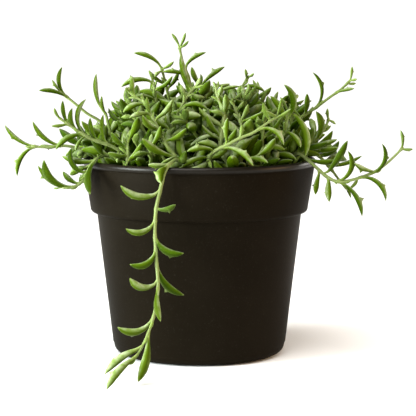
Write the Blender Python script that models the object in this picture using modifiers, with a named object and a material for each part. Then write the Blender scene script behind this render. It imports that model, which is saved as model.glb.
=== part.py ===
"""Potted trailing succulent with dolphin-shaped leaves.

A charcoal plastic nursery pot with a deep collar is filled with potting mix. Leafy stems stand
in plain holes in the mix, arch into a loose mound and hang over the rim, the longest one down to
the ground in front. Each leaf is a plump crescent on a thin stalk, and many have a fin or two on
their bulging side.

The plant is laid out in millimetres and its meshes are made in metres. +Z is up, -Y is the front,
and the origin is the centre of the pot's flat underside.
"""

import math
import random
from dataclasses import dataclass

import bmesh
import bpy
import numpy as np

MM = 0.001
COS_30 = math.sqrt(3.0) / 2

# Pot, in millimetres
POT_HEIGHT = 130.0
RIM_RADIUS = 76.7
BEAD_HEIGHT = 4.4
BEAD_PROUD = 0.5
GROOVE_DEPTH = 0.5
GROOVE_HEIGHT = 0.6
COLLAR_HEIGHT = 35.3
COLLAR_LOW_RADIUS = 71.9
COLLAR_ROUND = 2.4
SHOULDER_DROP = 1.4
BODY_TOP_RADIUS = 67.6
BODY_LOW_RADIUS = 57.4
FOOT_RADIUS = 50.4
FOOT_HEIGHT = 6.8
WALL = 2.0
FLOOR = 2.5
FLOOR_INSET = 0.6
LIP_DROP = 1.0
WALL_BEND = 3.0
POT_STEPS = 36
DRAIN_COUNT = 6
DRAIN_RADIUS = 5.0
DRAIN_REACH = 36.0
DRAIN_SIDES = 8
CUT_PAST = 3.0

# Potting mix
SOIL_HEIGHT = 117.0
SOIL_CROWN = 1.6
CROWN_BEND = 0.6
SOIL_GAP = 0.35
HOLE_BOTTOM = 105.0
HOLE_GAP = 0.35
HOLE_SIDES = 5

# Stems and leaves
UPRIGHT = (107.0, 113.0, 119.5, 124.0)
STEM_RADIUS = 1.2
STEM_TIP_RADIUS = 0.75
STEM_STEP = 1.5
STEM_BOW = 0.22
SPAN_POINTS = 12
SPOT_COUNT = 46
SPOT_REACH = 63.0
GOLDEN_TURN = math.pi * (3.0 - math.sqrt(5.0))
SEED = 8

# A leaf's shape: widths and shares are of its length, lengths are in millimetres, and where the
# length drawn for a fin is below zero the leaf has none there
LEAF_WIDTHS = (0.23, 0.32)
YOUNG_LEAF = 16.0
YOUNG_PLUMP = 0.06
GIRTH_LEANS = (0.95, 1.35)
SET_LEAN = 0.3
GIRTH_BLUNT = 0.85
CORNER = 1.05
FIN_TURN = math.radians(30.0)
STALK_RADIUS = 0.8
STALK_SHARE = 0.02
STALK_PART = 0.5
STALK_OVERLAP = 0.4
LEAST_CURL = 0.05
LEAST_SQUARE = 0.05
FIN_SHARE = 0.61
FIN_LENGTHS = (-2.2, 2.2)
FIN_LIMIT = 0.1
SKY_LEAN = 0.3
LEAF_STATIONS = (0.14, 0.38, FIN_SHARE, 0.82)
SHORT_LEAF = 14.0
SHORT_LEAF_STATIONS = (0.3, 0.7)
TIP_SHARE = 0.999
SAME_SHARE = 0.001

# Room kept between pieces, in millimetres
NODE_GAP = 0.42
OWN_GAP = 0.25
OWN_FREE_SHARE = 0.3
GROUND_GAP = 0.4
SOIL_CLEARANCE = 1.0
BALL_STEP = 1.4
FIN_BALL = 0.8
FIN_BALL_PROUD = 0.2

# The photograph looks down a little, and sees the stems that stand nearer than SEEN_FRONT
VIEW_SLOPE = 0.113
SEEN_FRONT = -30.0

# Leaves grown by rule: millimetres and degrees, young leaves standing near the stem's tip
LEAF_LENGTHS = (16.0, 24.0)
LEAF_LEANS = (48.0, 78.0)
TURN_JITTER = 0.7
HANGING_PART = 0.35
HANGING_CURLS = (-55.0, -25.0)
RISING_CURLS = (25.0, 65.0)
YOUNG_STRETCH = 15.0
YOUNG_LEAN = 30.0
YOUNG_SHRINK = 0.6
LEAF_TRIES = 14
BACK_SPACING = 10.5
BACK_LOWEST = 126.0
MOUND_SPACING = 9.0
MOUND_LOWEST = 134.0

# The mound: its height falls from the middle to its spread
MOUND_STEMS = 18
MOUND_HEIGHT = 176.0
MOUND_SPREAD = 90.0
MOUND_FALL = 32.0
MOUND_SHOULDER = 3.5
MOUND_MIDDLE_REACH = 80.0
MOUND_BACK_REACH = 14.0
MOUND_SIDE_REACH = 6.0
MOUND_LEAN = 0.5
MOUND_GROWTH = 1.25
MOUND_STRAY = (-5.0, 12.0)
MOUND_DIP = (0.0, 6.0)
MOUND_TRIES = 60
ARCH_HEIGHT = 6.0
RIM_CROSSING = 138.0

# Stems seen in the photograph: points of the visible route, then the leaves, each as its share
# of the route, the offset of its tip from its root, its curl in degrees, anticlockwise from the
# front where the curl is positive, and its greatest width
STEMS = {
    "front": (
        [(-13, -66, 134), (-17, -72, 133), (-21, -77, 128), (-23, -79, 120), (-26, -82, 107),
         (-27, -84, 97), (-27, -86, 89), (-26, -89, 73), (-25, -94, 56), (-28, -99, 39),
         (-32, -104, 28), (-38, -109, 17)],
        [(0.1, (-3, -6, -8), 40, 6.4), (0.22, (-24, -6, 5), -80, 5.8), (0.3, (12, -3, 3), 55, 4.6),
         (0.36, (-18, -6, -4), -100, 4.9), (0.43, (18, -4, -9), 80, 5.8),
         (0.49, (-16, -6, -8), -105, 5.4), (0.56, (17, -3, -20), 65, 5.8),
         (0.63, (-17, -6, 3), -110, 5.8), (0.67, (2, -5, -18), 25, 4.9),
         (0.8, (-22, -5, -5), -105, 5.8), (0.88, (-6, -12, -28), -25, 7.1),
         (0.96, (-22, -6, -15), 40, 5.8), (1.0, (-17, -20, -16), 30, 6.1),
         (0.08, (-13, -4, 0), -35, 4.3)]),
    "left_long": (
        [(-69, -18, 134), (-78, -22, 138), (-90, -26, 140), (-99, -28, 139), (-109, -30, 140)],
        [(0.55, (-17, -4, 16), -55, 4.0), (0.55, (-13, 3, 0), -30, 3.5),
         (0.93, (-19, -2, 14), -50, 3.5), (0.93, (-11, -4, -19), 75, 4.0)]),
    "left_up": (
        [(-57, -2, 142), (-65, -4, 154), (-73, -6, 159), (-80, -8, 165), (-86, -9, 170),
         (-92, -10, 175)],
        [(0.88, (-2, 0, 19), -75, 3.7), (0.85, (-18, -2, 5), 35, 3.9), (0.97, (-5, 0, 8), -10, 2.2)]),
    "left_tall": (
        [(-56, -16, 140), (-58, -14, 148), (-60, -13, 155), (-61, -12, 160), (-64, -12, 163)],
        [(1.0, (-3, 0, 23), -35, 3.9), (0.82, (-2, -2, 12), -30, 2.8)]),
    "left_mid": (
        [(-49, -40, 136), (-56, -43, 141), (-64, -46, 144), (-71, -48, 147), (-81, -50, 154),
         (-89, -52, 160)],
        [(0.25, (-2, 2, 19), -40, 3.9), (0.38, (-5, 3, 15), -40, 3.9),
         (0.62, (-6, 4, 16), -85, 4.2), (0.53, (-1, 8, 24), -100, 3.9),
         (0.84, (-3, 0, 15), -30, 3.5), (0.97, (-3, -2, 7), -25, 2.5),
         (0.84, (-10, -5, -1), -10, 2.8), (0.59, (-17, -8, -9), 60, 4.5),
         (0.56, (-6, -8, -9), 30, 2.8)]),
    "left_drop": (
        [(-57, -32, 133), (-63, -38, 134), (-69, -43, 129), (-72, -45, 122), (-76, -47, 117),
         (-81, -49, 115), (-87, -51, 115)],
        [(0.3, (-2, -12, -20), 45, 5.5), (0.53, (-10, 0, 16), -110, 4.5),
         (0.83, (-18, -4, 18), -95, 6.3), (1.0, (-16, 5, 13), -30, 4.2),
         (0.73, (-11, 10, 7), -40, 4.2), (0.42, (-14, 15, -7), 20, 5.9),
         (0.5, (-7, 17, -11), 20, 5.9), (0.35, (-21, 8, 3), -30, 5.2)]),
    "crown": (
        [(-2, -12, 156), (-5, -10, 175), (-7, -8, 184), (-10, -8, 191), (-12, -9, 199),
         (-13, -9, 204)],
        [(1.0, (-5, 0, 8), 10, 2.5), (0.97, (4, -2, 10), 10, 2.5), (0.97, (6, -3, 5), 25, 2.2),
         (0.7, (14, -3, 10), -50, 3.5), (0.4, (-7, -6, 23), -20, 4.9),
         (0.2, (-10, 7, 22), 15, 4.6), (0.58, (-17, -5, 3), 35, 3.7)]),
    "top_mid": (
        [(1, -4, 150), (2, 0, 160), (1, 2, 169), (1, 2, 177)],
        [(1.0, (-6, -2, 13), -25, 4.5), (1.0, (16, -3, 13), -25, 3.9),
         (0.68, (-9, -4, 7), -40, 3.9)]),
    "crown_left": (
        [(-19, 4, 161), (-21, 3, 173), (-23, 2, 182), (-25, 1, 190)],
        [(1.0, (-18, -4, 9), 50, 4.0), (0.95, (8, -4, 5), 30, 2.8), (0.9, (-5, -5, -4), 40, 2.8),
         (0.6, (-11, -2, 9), -30, 3.5), (0.5, (8, 2, 12), 40, 3.5)]),
    "arch_left": (
        [(-25, 0, 148), (-28, -4, 163), (-29, -6, 174), (-30, -7, 180)],
        [(1.0, (-21, -4, -3), 65, 4.6), (1.0, (-3, 0, 8), 10, 2.5), (0.86, (12, -6, 9), 50, 3.7),
         (0.64, (-15, -8, 2), 40, 4.0)]),
    "slope_left": (
        [(-14, -62, 134), (-19, -62, 141), (-24, -60, 150), (-28, -57, 158), (-31, -55, 163),
         (-34, -52, 169), (-41, -50, 173), (-45, -49, 177)],
        [(0.89, (-1, 0, 12), -30, 4.0), (0.97, (-2, 0, 3), 5, 2.2), (0.53, (12, -3, 13), 40, 4.3),
         (0.74, (-14, -5, -5), 50, 4.7), (0.61, (-2, -2, 11), -25, 3.6),
         (0.61, (-13, -8, -2), 35, 4.0), (0.26, (14, -6, 8), 50, 4.7),
         (0.05, (-20, -10, 12), -40, 6.0), (0.05, (-8, -8, -4), -10, 2.8)]),
    "front_left": (
        [(-45, -50, 126), (-45, -55, 133), (-45, -55, 140), (-45, -54, 146), (-44, -53, 151)],
        [(0.78, (7, -4, 15), 25, 6.5), (0.33, (9, -8, 11), 50, 5.8),
         (0.61, (-10, -3, 10), -40, 4.8), (0.44, (-12, -6, 2), -40, 4.4)]),
    "front_mid": (
        [(-30, -58, 128), (-30, -62, 136), (-31, -61, 141), (-30, -60, 146)],
        [(0.54, (-11, -5, -1), 40, 4.1), (0.77, (7, -6, 14), 35, 4.8)]),
    "slope_mid": (
        [(-17, -48, 141), (-18, -46, 153), (-14, -44, 160), (-8, -42, 172), (-3, -40, 178),
         (-1, -40, 180)],
        [(0.5, (19, -4, 2), -110, 4.0), (0.27, (0, -2, 17), -25, 4.7),
         (0.27, (-3, -5, 10), -10, 4.0), (0.93, (6, -2, 2), 10, 2.5),
         (0.77, (-4, -2, 8), -25, 3.6), (0.83, (10, 3, -3), 30, 4.0)]),
    "spire": (
        [(14, -56, 139), (14, -54, 148), (16, -50, 161), (13, -46, 169), (11, -45, 176),
         (11, -45, 181)],
        [(0.2, (-9, -4, 14), -35, 4.5), (0.5, (-8, -4, 3), 40, 3.9), (0.53, (1, -5, 13), 25, 5.2),
         (0.8, (3, 0, 8), 10, 2.8), (0.87, (15, -3, 4), -25, 2.8), (0.97, (9, -3, 1), 10, 2.5),
         (0.23, (-20, -6, -7), 35, 3.9), (0.17, (-12, -10, 10), -30, 2.8)]),
    "slope_up": (
        [(25, -52, 139), (27, -50, 147), (27, -48, 155), (24, -46, 162), (22, -45, 168)],
        [(0.62, (5, -2, 11), 25, 3.9), (0.86, (5, -2, 6), 25, 2.8), (0.62, (14, -4, 6), 30, 3.9)]),
    "slope_right": (
        [(6, -62, 135), (11, -64, 140), (19, -66, 144), (26, -66, 148), (34, -66, 151),
         (44, -65, 158), (49, -64, 161)],
        [(0.14, (-18, -5, 0), 45, 4.5), (0.03, (-18, -6, -7), 35, 4.5),
         (0.0, (2, -6, -6), 10, 2.8), (0.23, (20, -7, -11), -65, 4.5),
         (0.74, (15, -4, -10), -95, 3.9), (0.49, (1, 3, 8), 10, 3.5),
         (0.91, (-5, 2, 11), -30, 3.9), (0.97, (10, -2, 6), 25, 2.8), (1.0, (-7, -4, 4), -10, 2.8),
         (0.31, (0, 0, 17), -25, 4.5), (1.0, (3, 0, 12), 10, 2.5)]),
    "front_right": (
        [(31, -58, 131), (32, -61, 135), (36, -60, 135), (39, -58, 138), (41, -57, 142)],
        [(0.54, (12, -3, 12), 30, 5.5), (0.31, (11, -6, -2), -30, 4.1),
         (0.92, (14, -4, -1), -40, 4.4)]),
    "top_right": (
        [(22, 6, 156), (25, 4, 168), (27, 3, 174), (31, 3, 181), (33, 3, 184)],
        [(0.9, (-1, 0, 7), 5, 2.5), (0.95, (4, 0, 3), 5, 2.2), (0.7, (15, -3, -3), -60, 3.5),
         (0.55, (-13, 2, 5), 40, 3.5)]),
    "right_blade": (
        [(52, -38, 144), (56, -38, 153), (57, -38, 162), (61, -38, 170)],
        [(0.58, (-3, -2, 22), 85, 5.2), (0.47, (-11, -4, 17), 25, 5.2), (1.0, (2, 0, 4), 5, 2.2),
         (0.68, (-5, 4, 10), 5, 2.8), (0.74, (10, -6, -29), -75, 5.8),
         (0.26, (10, -8, -10), -50, 4.5), (0.21, (0, -3, 8), 10, 2.8)]),
    "right_up": (
        [(58, -15, 148), (66, -16, 157), (76, -18, 164), (85, -20, 171), (92, -21, 176),
         (98, -22, 182)],
        [(1.0, (1, 0, 9), 5, 2.5), (1.0, (4, 0, 1), 10, 2.2), (0.94, (6, 0, 0), 10, 2.2),
         (0.78, (11, -3, 3), -10, 2.8), (0.47, (-3, -2, 23), 90, 3.2), (0.3, (1, -5, 14), 10, 4.5),
         (0.25, (-8, 2, 9), -25, 3.6)]),
    "right_stub": (
        [(63, -18, 134), (70, -22, 139), (78, -24, 146), (83, -24, 154), (84, -24, 158)],
        [(0.48, (0, -4, 20), 70, 5.6), (0.96, (-1, 0, 8), -5, 2.5), (0.96, (5, 0, -3), -10, 2.2),
         (0.35, (18, -5, 4), 25, 4.0), (0.26, (20, -6, 1), 30, 4.7)]),
    "right_long": (
        [(58, -28, 134), (65, -34, 135), (73, -40, 129), (82, -42, 121), (89, -43, 118),
         (97, -43, 119), (104, -42, 121), (114, -41, 125), (123, -40, 132), (131, -39, 140)],
        [(0.98, (-1, 0, 12), 35, 2.8), (0.98, (7, -2, 0), 25, 2.5), (0.7, (6, -2, 20), 105, 3.5),
         (0.62, (16, -4, -15), -100, 3.9), (0.47, (14, -4, -22), -60, 4.2),
         (0.35, (14, -3, 23), 10, 5.8), (0.45, (6, -3, 20), 110, 4.2),
         (0.3, (-3, -3, -15), 10, 4.5), (0.38, (0, -3, -15), 10, 5.2),
         (0.17, (19, -2, -1), 30, 4.5), (0.73, (-14, -4, 6), -30, 3.9)]),
    "right_drop": (
        [(62, -2, 133), (69, -3, 135), (78, -5, 132), (86, -8, 124), (92, -12, 116),
         (97, -16, 110)],
        [(0.58, (22, -2, 7), 30, 3.5), (0.85, (7, -5, -11), -40, 2.8), (1.0, (7, 0, 8), 40, 2.8),
         (0.58, (7, -10, 5), 30, 2.8)]),
}

# The share of a route below which other leaves may stand in front of the stem
SEEN_FROM = {"left_tall": 0.8, "top_mid": 0.6, "front_left": 0.8, "front_mid": 0.6,
             "slope_mid": 0.5, "spire": 0.5, "slope_up": 0.6, "front_right": 0.5}

# Stems at the back, which the photograph hides: their routes over the rim and down the wall
BACK_STEMS = {
    "back_left": [(-22, 62, 134), (-25, 72, 136), (-28, 80, 131), (-31, 84, 118), (-31, 86, 100),
                  (-27, 88, 82), (-25, 91, 64), (-26, 95, 47), (-23, 99, 33)],
    "back_right": [(26, 60, 134), (30, 69, 136), (34, 78, 132), (35, 84, 120), (31, 86, 104),
                   (30, 88, 90), (33, 91, 78)],
}


@dataclass
class Leaf:
    """A leaf whose middle line is an arc from its root on a stem."""
    root: np.ndarray
    along: np.ndarray
    out: np.ndarray
    rise: np.ndarray
    length: float
    curl: float
    half_width: float
    lean: float
    fins: tuple


@dataclass
class Stem:
    """A stem's smooth route and its leaves."""
    name: str
    spot: tuple
    route: np.ndarray
    leaves: list


def unit(vector):
    return vector / np.linalg.norm(vector)


def across(vector, axis):
    """The part of a vector that is square to an axis, at unit length."""
    square = vector - axis * np.dot(vector, axis)
    if np.linalg.norm(square) < LEAST_SQUARE:
        square = np.cross(axis, (1.0, 0.0, 0.0))
    return unit(square)


def smooth_route(points, step):
    """Points every step along one smooth curve through the given points."""
    points = [np.array(point, float) for point in points]
    knots = [0.0]
    for start, end in zip(points, points[1:]):
        knots.append(knots[-1] + math.sqrt(np.linalg.norm(end - start)))
    slopes = []
    for index in range(len(points)):
        low = max(index - 1, 0)
        high = min(index + 1, len(points) - 1)
        slopes.append((points[high] - points[low]) / (knots[high] - knots[low]))
    fine = []
    for index in range(len(points) - 1):
        span = knots[index + 1] - knots[index]
        for t in np.linspace(0.0, 1.0, SPAN_POINTS, endpoint=False):
            fine.append((2 * t ** 3 - 3 * t ** 2 + 1) * points[index]
                        + (t ** 3 - 2 * t ** 2 + t) * span * slopes[index]
                        + (3 * t ** 2 - 2 * t ** 3) * points[index + 1]
                        + (t ** 3 - t ** 2) * span * slopes[index + 1])
    fine.append(points[-1])
    return spaced(np.array(fine), step)


def spaced(fine, step):
    """The same line with its points at even steps."""
    travelled = np.concatenate([[0.0], np.cumsum(np.linalg.norm(np.diff(fine, axis=0), axis=1))])
    count = max(2, round(travelled[-1] / step) + 1)
    wanted = np.linspace(0.0, travelled[-1], count)
    return np.column_stack([np.interp(wanted, travelled, fine[:, axis]) for axis in range(3)])


def thinned(line, bow):
    """As few of a line's points as keep it within a given bow of the rest."""
    kept = [0]
    for index in range(2, len(line)):
        start = line[kept[-1]]
        chord = unit(line[index] - start)
        between = line[kept[-1] + 1:index] - start
        bows = np.linalg.norm(between - np.outer(between @ chord, chord), axis=1)
        if bows.max() > bow:
            kept.append(index - 1)
    return kept + [len(line) - 1]


def arc_points(centre, radius, start, end, count):
    """Points along an arc in the plane of radius and height, angles in degrees."""
    angles = np.radians(np.linspace(start, end, count))
    return [(centre[0] + radius * math.cos(a), centre[1] + radius * math.sin(a)) for a in angles]


def wall_line():
    """Middle line of the pot's wall, as (radius, height), from the rim down to the foot."""
    half = WALL / 2
    return np.array([
        (RIM_RADIUS - half, POT_HEIGHT - half),
        (COLLAR_LOW_RADIUS - half, POT_HEIGHT - COLLAR_HEIGHT + half),
        (BODY_TOP_RADIUS - half, POT_HEIGHT - COLLAR_HEIGHT - WALL_BEND),
        (BODY_LOW_RADIUS - half, FOOT_HEIGHT),
        (FOOT_RADIUS, half),
    ])


def from_wall(points):
    """Nearest point of the wall's middle line to each point, both as (radius, height)."""
    flat = np.column_stack([np.hypot(points[:, 0], points[:, 1]), points[:, 2]])
    line = wall_line()
    best = np.full(len(flat), np.inf)
    nearest = np.zeros_like(flat)
    for start, end in zip(line, line[1:]):
        span = end - start
        share = np.clip((flat - start) @ span / (span @ span), 0.0, 1.0)
        on_line = start + share[:, None] * span
        away = np.linalg.norm(flat - on_line, axis=1)
        closer = away < best
        best = np.where(closer, away, best)
        nearest[closer] = on_line[closer]
    return flat, nearest, best


def clear_of_wall(route, margin):
    """Pushes a route's points out of the pot's wall, then evens the line."""
    for _ in range(3):
        flat, nearest, away = from_wall(route)
        keep = WALL / 2 + BEAD_PROUD + margin
        for index in np.nonzero(away < keep)[0]:
            push = flat[index] - nearest[index]
            push = push / max(np.linalg.norm(push), 0.001)
            reach, height = nearest[index] + push * keep
            route[index, :2] *= reach / flat[index, 0]
            route[index, 2] = height
        route[1:-1] = (route[:-2] + 2 * route[1:-1] + route[2:]) / 4
    return route


def leaf_half_width(leaf, share):
    """Half a leaf's width at a share of its length: a thin stalk, then a spindle."""
    beyond_stalk = np.clip((share - STALK_SHARE) / (1.0 - STALK_SHARE), 0.0, 1.0)
    girth = np.maximum(np.sin(np.pi * beyond_stalk ** leaf.lean), 0.0) ** GIRTH_BLUNT
    stalk = min(STALK_RADIUS, leaf.half_width * STALK_PART)
    return stalk * (1.0 - share) + (leaf.half_width - stalk * STALK_OVERLAP) * girth


def leaf_place(leaf, share):
    """Centre, along, rise and side directions of a leaf at each share of its length."""
    share = np.atleast_1d(share)[:, None]
    turn = leaf.curl * share
    radius = leaf.length / leaf.curl
    centre = leaf.root + radius * (np.sin(turn) * leaf.out + (1.0 - np.cos(turn)) * leaf.rise)
    rise = np.cos(turn) * leaf.rise - np.sin(turn) * leaf.out
    side = np.cross(leaf.out, leaf.rise)
    return centre, rise, side


def make_leaf(root, along, offset, sky, curl, width, lean, fins):
    """A leaf from its root to its tip, with the side that faces the sky and its curl that way."""
    chord = np.linalg.norm(offset)
    straight = offset / chord
    sky = across(sky, straight)
    half = curl / 2
    out = math.cos(half) * straight - math.sin(half) * sky
    rise = math.sin(half) * straight + math.cos(half) * sky
    length = chord * half / math.sin(half)
    fins = tuple(min(fin, length * FIN_LIMIT) for fin in fins)
    return Leaf(root, along, out, rise, length, curl, width / 2, lean, fins)


def sky_side(along):
    """What a leaf's upper face turns to: the sky, and away from the stem's tip."""
    return np.array((0.0, 0.0, 1.0)) - SKY_LEAN * along


def leaf_back(leaf):
    """The bulging side of a leaf: 1 where its upper face is that side, -1 where its lower is."""
    return -math.copysign(1.0, leaf.curl)


def leaf_balls(leaf):
    """Centres and radii of balls that fill a leaf and its fins."""
    count = max(6, math.ceil(leaf.length / BALL_STEP))
    share = np.linspace(0.0, 1.0, count)
    centre, _, _ = leaf_place(leaf, share)
    radius = leaf_half_width(leaf, share)
    middle, rise, side = leaf_place(leaf, FIN_SHARE)
    reach = float(leaf_half_width(leaf, FIN_SHARE)) * CORNER - FIN_BALL + FIN_BALL_PROUD
    back = leaf_back(leaf) * math.cos(FIN_TURN) * rise[0]
    fins = [middle[0] + (back + way * math.sin(FIN_TURN) * side) * (reach + fin)
            for way, fin in zip((1.0, -1.0), leaf.fins)]
    radius = np.append(radius, (FIN_BALL, FIN_BALL))
    return np.vstack([centre, fins]), radius, np.append(share, (FIN_SHARE, FIN_SHARE))


class Crowd:
    """Balls that stand for everything placed so far, each with the stem that it belongs to."""

    def __init__(self):
        self.centres = np.empty((0, 3))
        self.radii = np.empty(0)
        self.owners = np.empty(0, int)

    def add(self, centres, radii, owner):
        self.centres = np.vstack([self.centres, centres])
        self.radii = np.append(self.radii, radii)
        self.owners = np.append(self.owners, np.full(len(radii), owner))

    def has_room(self, centres, radii, gap, among):
        """True where no ball among the given ones comes nearer than the gap."""
        middle = centres.mean(axis=0)
        reach = np.linalg.norm(centres - middle, axis=1).max() + radii.max() + gap
        apart = np.linalg.norm(self.centres - middle, axis=1)
        close = (apart < reach + self.radii) & among
        if not close.any():
            return True
        spread = np.linalg.norm(self.centres[close][None] - centres[:, None], axis=2)
        return bool((spread > self.radii[close][None] + radii[:, None] + gap).all())


class Plant:
    """Lays out the stems and leaves so that no two of them cross."""

    def __init__(self):
        self.random = random.Random(SEED)
        self.crowd = Crowd()
        self.stems = []
        self.seen = np.empty((0, 3))
        self.free_spots = [self.spot(index) for index in range(SPOT_COUNT)]

    def spot(self, index):
        """Where a stem may stand in the soil: even spots on a disc, like a sunflower's seeds."""
        reach = SPOT_REACH * math.sqrt((index + 0.5) / SPOT_COUNT)
        turn = index * GOLDEN_TURN
        return (reach * math.cos(turn), reach * math.sin(turn))

    def route_from(self, spot, visible):
        """A stem's whole route, upright in its hole and then through its visible points."""
        upright = [(spot[0], spot[1], height) for height in UPRIGHT]
        route = smooth_route(upright + visible, STEM_STEP)
        in_soil = route[:, 2] < UPRIGHT[2]
        inside = in_soil & (np.hypot(route[:, 0], route[:, 1]) < soil_radius(UPRIGHT[0]))
        above = np.nonzero(~inside)[0][0]
        route[above:] = clear_of_wall(route[above:], STEM_RADIUS + NODE_GAP)
        return route

    def add_stem(self, name, spot, route):
        owner = len(self.stems)
        self.stems.append(Stem(name, spot, route, []))
        self.crowd.add(route, stem_radii(route), owner)
        return owner

    def stem_has_room(self, route):
        everything = np.ones(len(self.crowd.radii), bool)
        return self.crowd.has_room(route, stem_radii(route), NODE_GAP, everything)

    def grow_named_stem(self, name, visible):
        """Starts a stem at the nearest free spot from which it meets nothing."""
        first = np.array(visible[0][:2], float)
        for spot in sorted(self.free_spots, key=lambda spot: np.linalg.norm(first - spot)):
            route = self.route_from(spot, visible)
            if self.stem_has_room(route):
                self.free_spots.remove(spot)
                return self.add_stem(name, spot, route)
        raise ValueError("no clear way for stem " + name)

    def leaf_has_room(self, leaf, owner, gap):
        centres, radii, share = leaf_balls(leaf)
        own = self.crowd.owners == owner
        if (centres[:, 2] - radii < GROUND_GAP).any():
            return False
        if not self.clear_of_pot(centres, radii):
            return False
        if not self.crowd.has_room(centres, radii, gap, ~own):
            return False
        free = share > OWN_FREE_SHARE
        return self.crowd.has_room(centres[free], radii[free], OWN_GAP, own)

    def clear_of_pot(self, centres, radii):
        """True where no ball is in the pot's wall or below the top of the soil."""
        flat, _, away = from_wall(centres)
        if (away < radii + WALL / 2 + BEAD_PROUD + NODE_GAP).any():
            return False
        in_pot = flat[:, 0] < RIM_RADIUS - WALL
        lowest = SOIL_HEIGHT + SOIL_CROWN + SOIL_CLEARANCE
        return not (in_pot & (centres[:, 2] - radii < lowest)).any()

    def hides_seen(self, centres, radii):
        """True where a leaf, seen from the front, covers part of a stem in the photograph."""
        seen = self.seen[self.seen[:, 1] < SEEN_FRONT]
        away = seen[None] - centres[:, None]
        apart = np.hypot(away[..., 0], away[..., 2] + VIEW_SLOPE * away[..., 1])
        return bool(((apart < radii[:, None]) & (away[..., 1] > 0.0)).any())

    def add_leaf(self, leaf, owner):
        centres, radii, _ = leaf_balls(leaf)
        self.crowd.add(centres, radii, owner)
        self.stems[owner].leaves.append(leaf)

    def form(self):
        """Where a leaf is widest, and the lengths of its fins, of which it often lacks one or both."""
        draw = self.random
        fins = (max(0.0, draw.uniform(*FIN_LENGTHS)), max(0.0, draw.uniform(*FIN_LENGTHS)))
        return draw.uniform(*GIRTH_LEANS), fins

    def add_placed_leaves(self, owner, visible, rows):
        """Leaves set by hand, each nudged in depth, curl and size until it is clear."""
        route = self.stems[owner].route
        start = nearest_index(route, visible[0])
        steps = len(route) - 1 - start
        first_seen = start + round(SEEN_FROM.get(self.stems[owner].name, 0.0) * steps)
        self.seen = np.vstack([self.seen, route[first_seen:]])
        for share, offset, curl, width in rows:
            index = start + round(share * steps)
            along = route_direction(route, index)
            left = np.array((-offset[2], 0.0, offset[0]))
            way = math.copysign(1.0, left @ sky_side(along))
            lean, fins = self.form()
            lean += SET_LEAN
            for depth, twist, size in NUDGES:
                tip = np.array(offset, float) * size + np.array((0.0, depth, 0.0))
                bend = way * math.radians(curl + twist) or LEAST_CURL
                leaf = make_leaf(route[index], along, tip, left * way, bend, width * size, lean,
                                 fins)
                if self.leaf_has_room(leaf, owner, NODE_GAP):
                    self.add_leaf(leaf, owner)
                    self.seen = np.vstack([self.seen, leaf_balls(leaf)[0]])
                    break

    def add_grown_leaves(self, owner, spacing, lowest):
        """Leaves in a spiral up the stem, smaller and steeper towards its tip."""
        route = self.stems[owner].route
        above = np.nonzero(route[:, 2] > lowest)[0]
        steps = max(1, round(spacing / STEM_STEP))
        turn = self.random.uniform(0.0, 2 * math.pi)
        for index in range(int(above[0]), len(route), steps):
            turn += GOLDEN_TURN
            left = (len(route) - 1 - index) * STEM_STEP
            youth = max(0.0, 1.0 - left / YOUNG_STRETCH)
            for _ in range(LEAF_TRIES):
                leaf = self.spiral_leaf(route, index, turn, youth)
                if not self.leaf_has_room(leaf, owner, NODE_GAP):
                    continue
                if not self.hides_seen(*leaf_balls(leaf)[:2]):
                    self.add_leaf(leaf, owner)
                    break

    def spiral_leaf(self, route, index, turn, youth):
        """A leaf to try at a point of a stem, turned round it by about the given angle."""
        draw = self.random
        along = route_direction(route, index)
        up = across(np.array((0.0, 0.0, 1.0)), along)
        sideways = np.cross(along, up)
        turn += draw.uniform(-TURN_JITTER, TURN_JITTER)
        lean = math.radians(draw.uniform(*LEAF_LEANS) - YOUNG_LEAN * youth)
        outward = math.cos(turn) * up + math.sin(turn) * sideways
        way = math.cos(lean) * along + math.sin(lean) * outward
        length = draw.uniform(*LEAF_LENGTHS) * (1.0 - YOUNG_SHRINK * youth)
        curls = HANGING_CURLS if draw.random() < HANGING_PART else RISING_CURLS
        curl = math.radians(draw.uniform(*curls))
        plump = draw.uniform(*LEAF_WIDTHS) + YOUNG_PLUMP * max(0.0, 1.0 - length / YOUNG_LEAF)
        return make_leaf(route[index], along, way * length, sky_side(along), curl, length * plump,
                         *self.form())

    def grow_mound_stem(self, number):
        """A stem of the mound: out of the soil and up towards the mound's surface."""
        draw = self.random
        spot = self.free_spots[0]
        reach = math.hypot(*spot)
        spot_turn = math.atan2(spot[1], spot[0])
        for _ in range(MOUND_TRIES):
            turn = spot_turn + draw.uniform(-MOUND_LEAN, MOUND_LEAN)
            end_reach = min(reach * MOUND_GROWTH + draw.uniform(*MOUND_STRAY), mound_reach(turn))
            end_height = mound_height(end_reach) - draw.uniform(*MOUND_DIP)
            middle_reach = (reach + end_reach) / 2
            middle_height = (UPRIGHT[-1] + end_height) / 2 + ARCH_HEIGHT
            if end_reach > SPOT_REACH:
                middle_height = max(middle_height, RIM_CROSSING)
            middle_turn = (spot_turn + turn) / 2
            visible = [
                (middle_reach * math.cos(middle_turn), middle_reach * math.sin(middle_turn),
                 middle_height),
                (end_reach * math.cos(turn), end_reach * math.sin(turn), end_height)]
            route = self.route_from(spot, visible)
            if self.stem_has_room(route):
                self.free_spots.pop(0)
                return self.add_stem("mound_%02d" % number, spot, route)
        self.free_spots.append(self.free_spots.pop(0))
        return None

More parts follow.
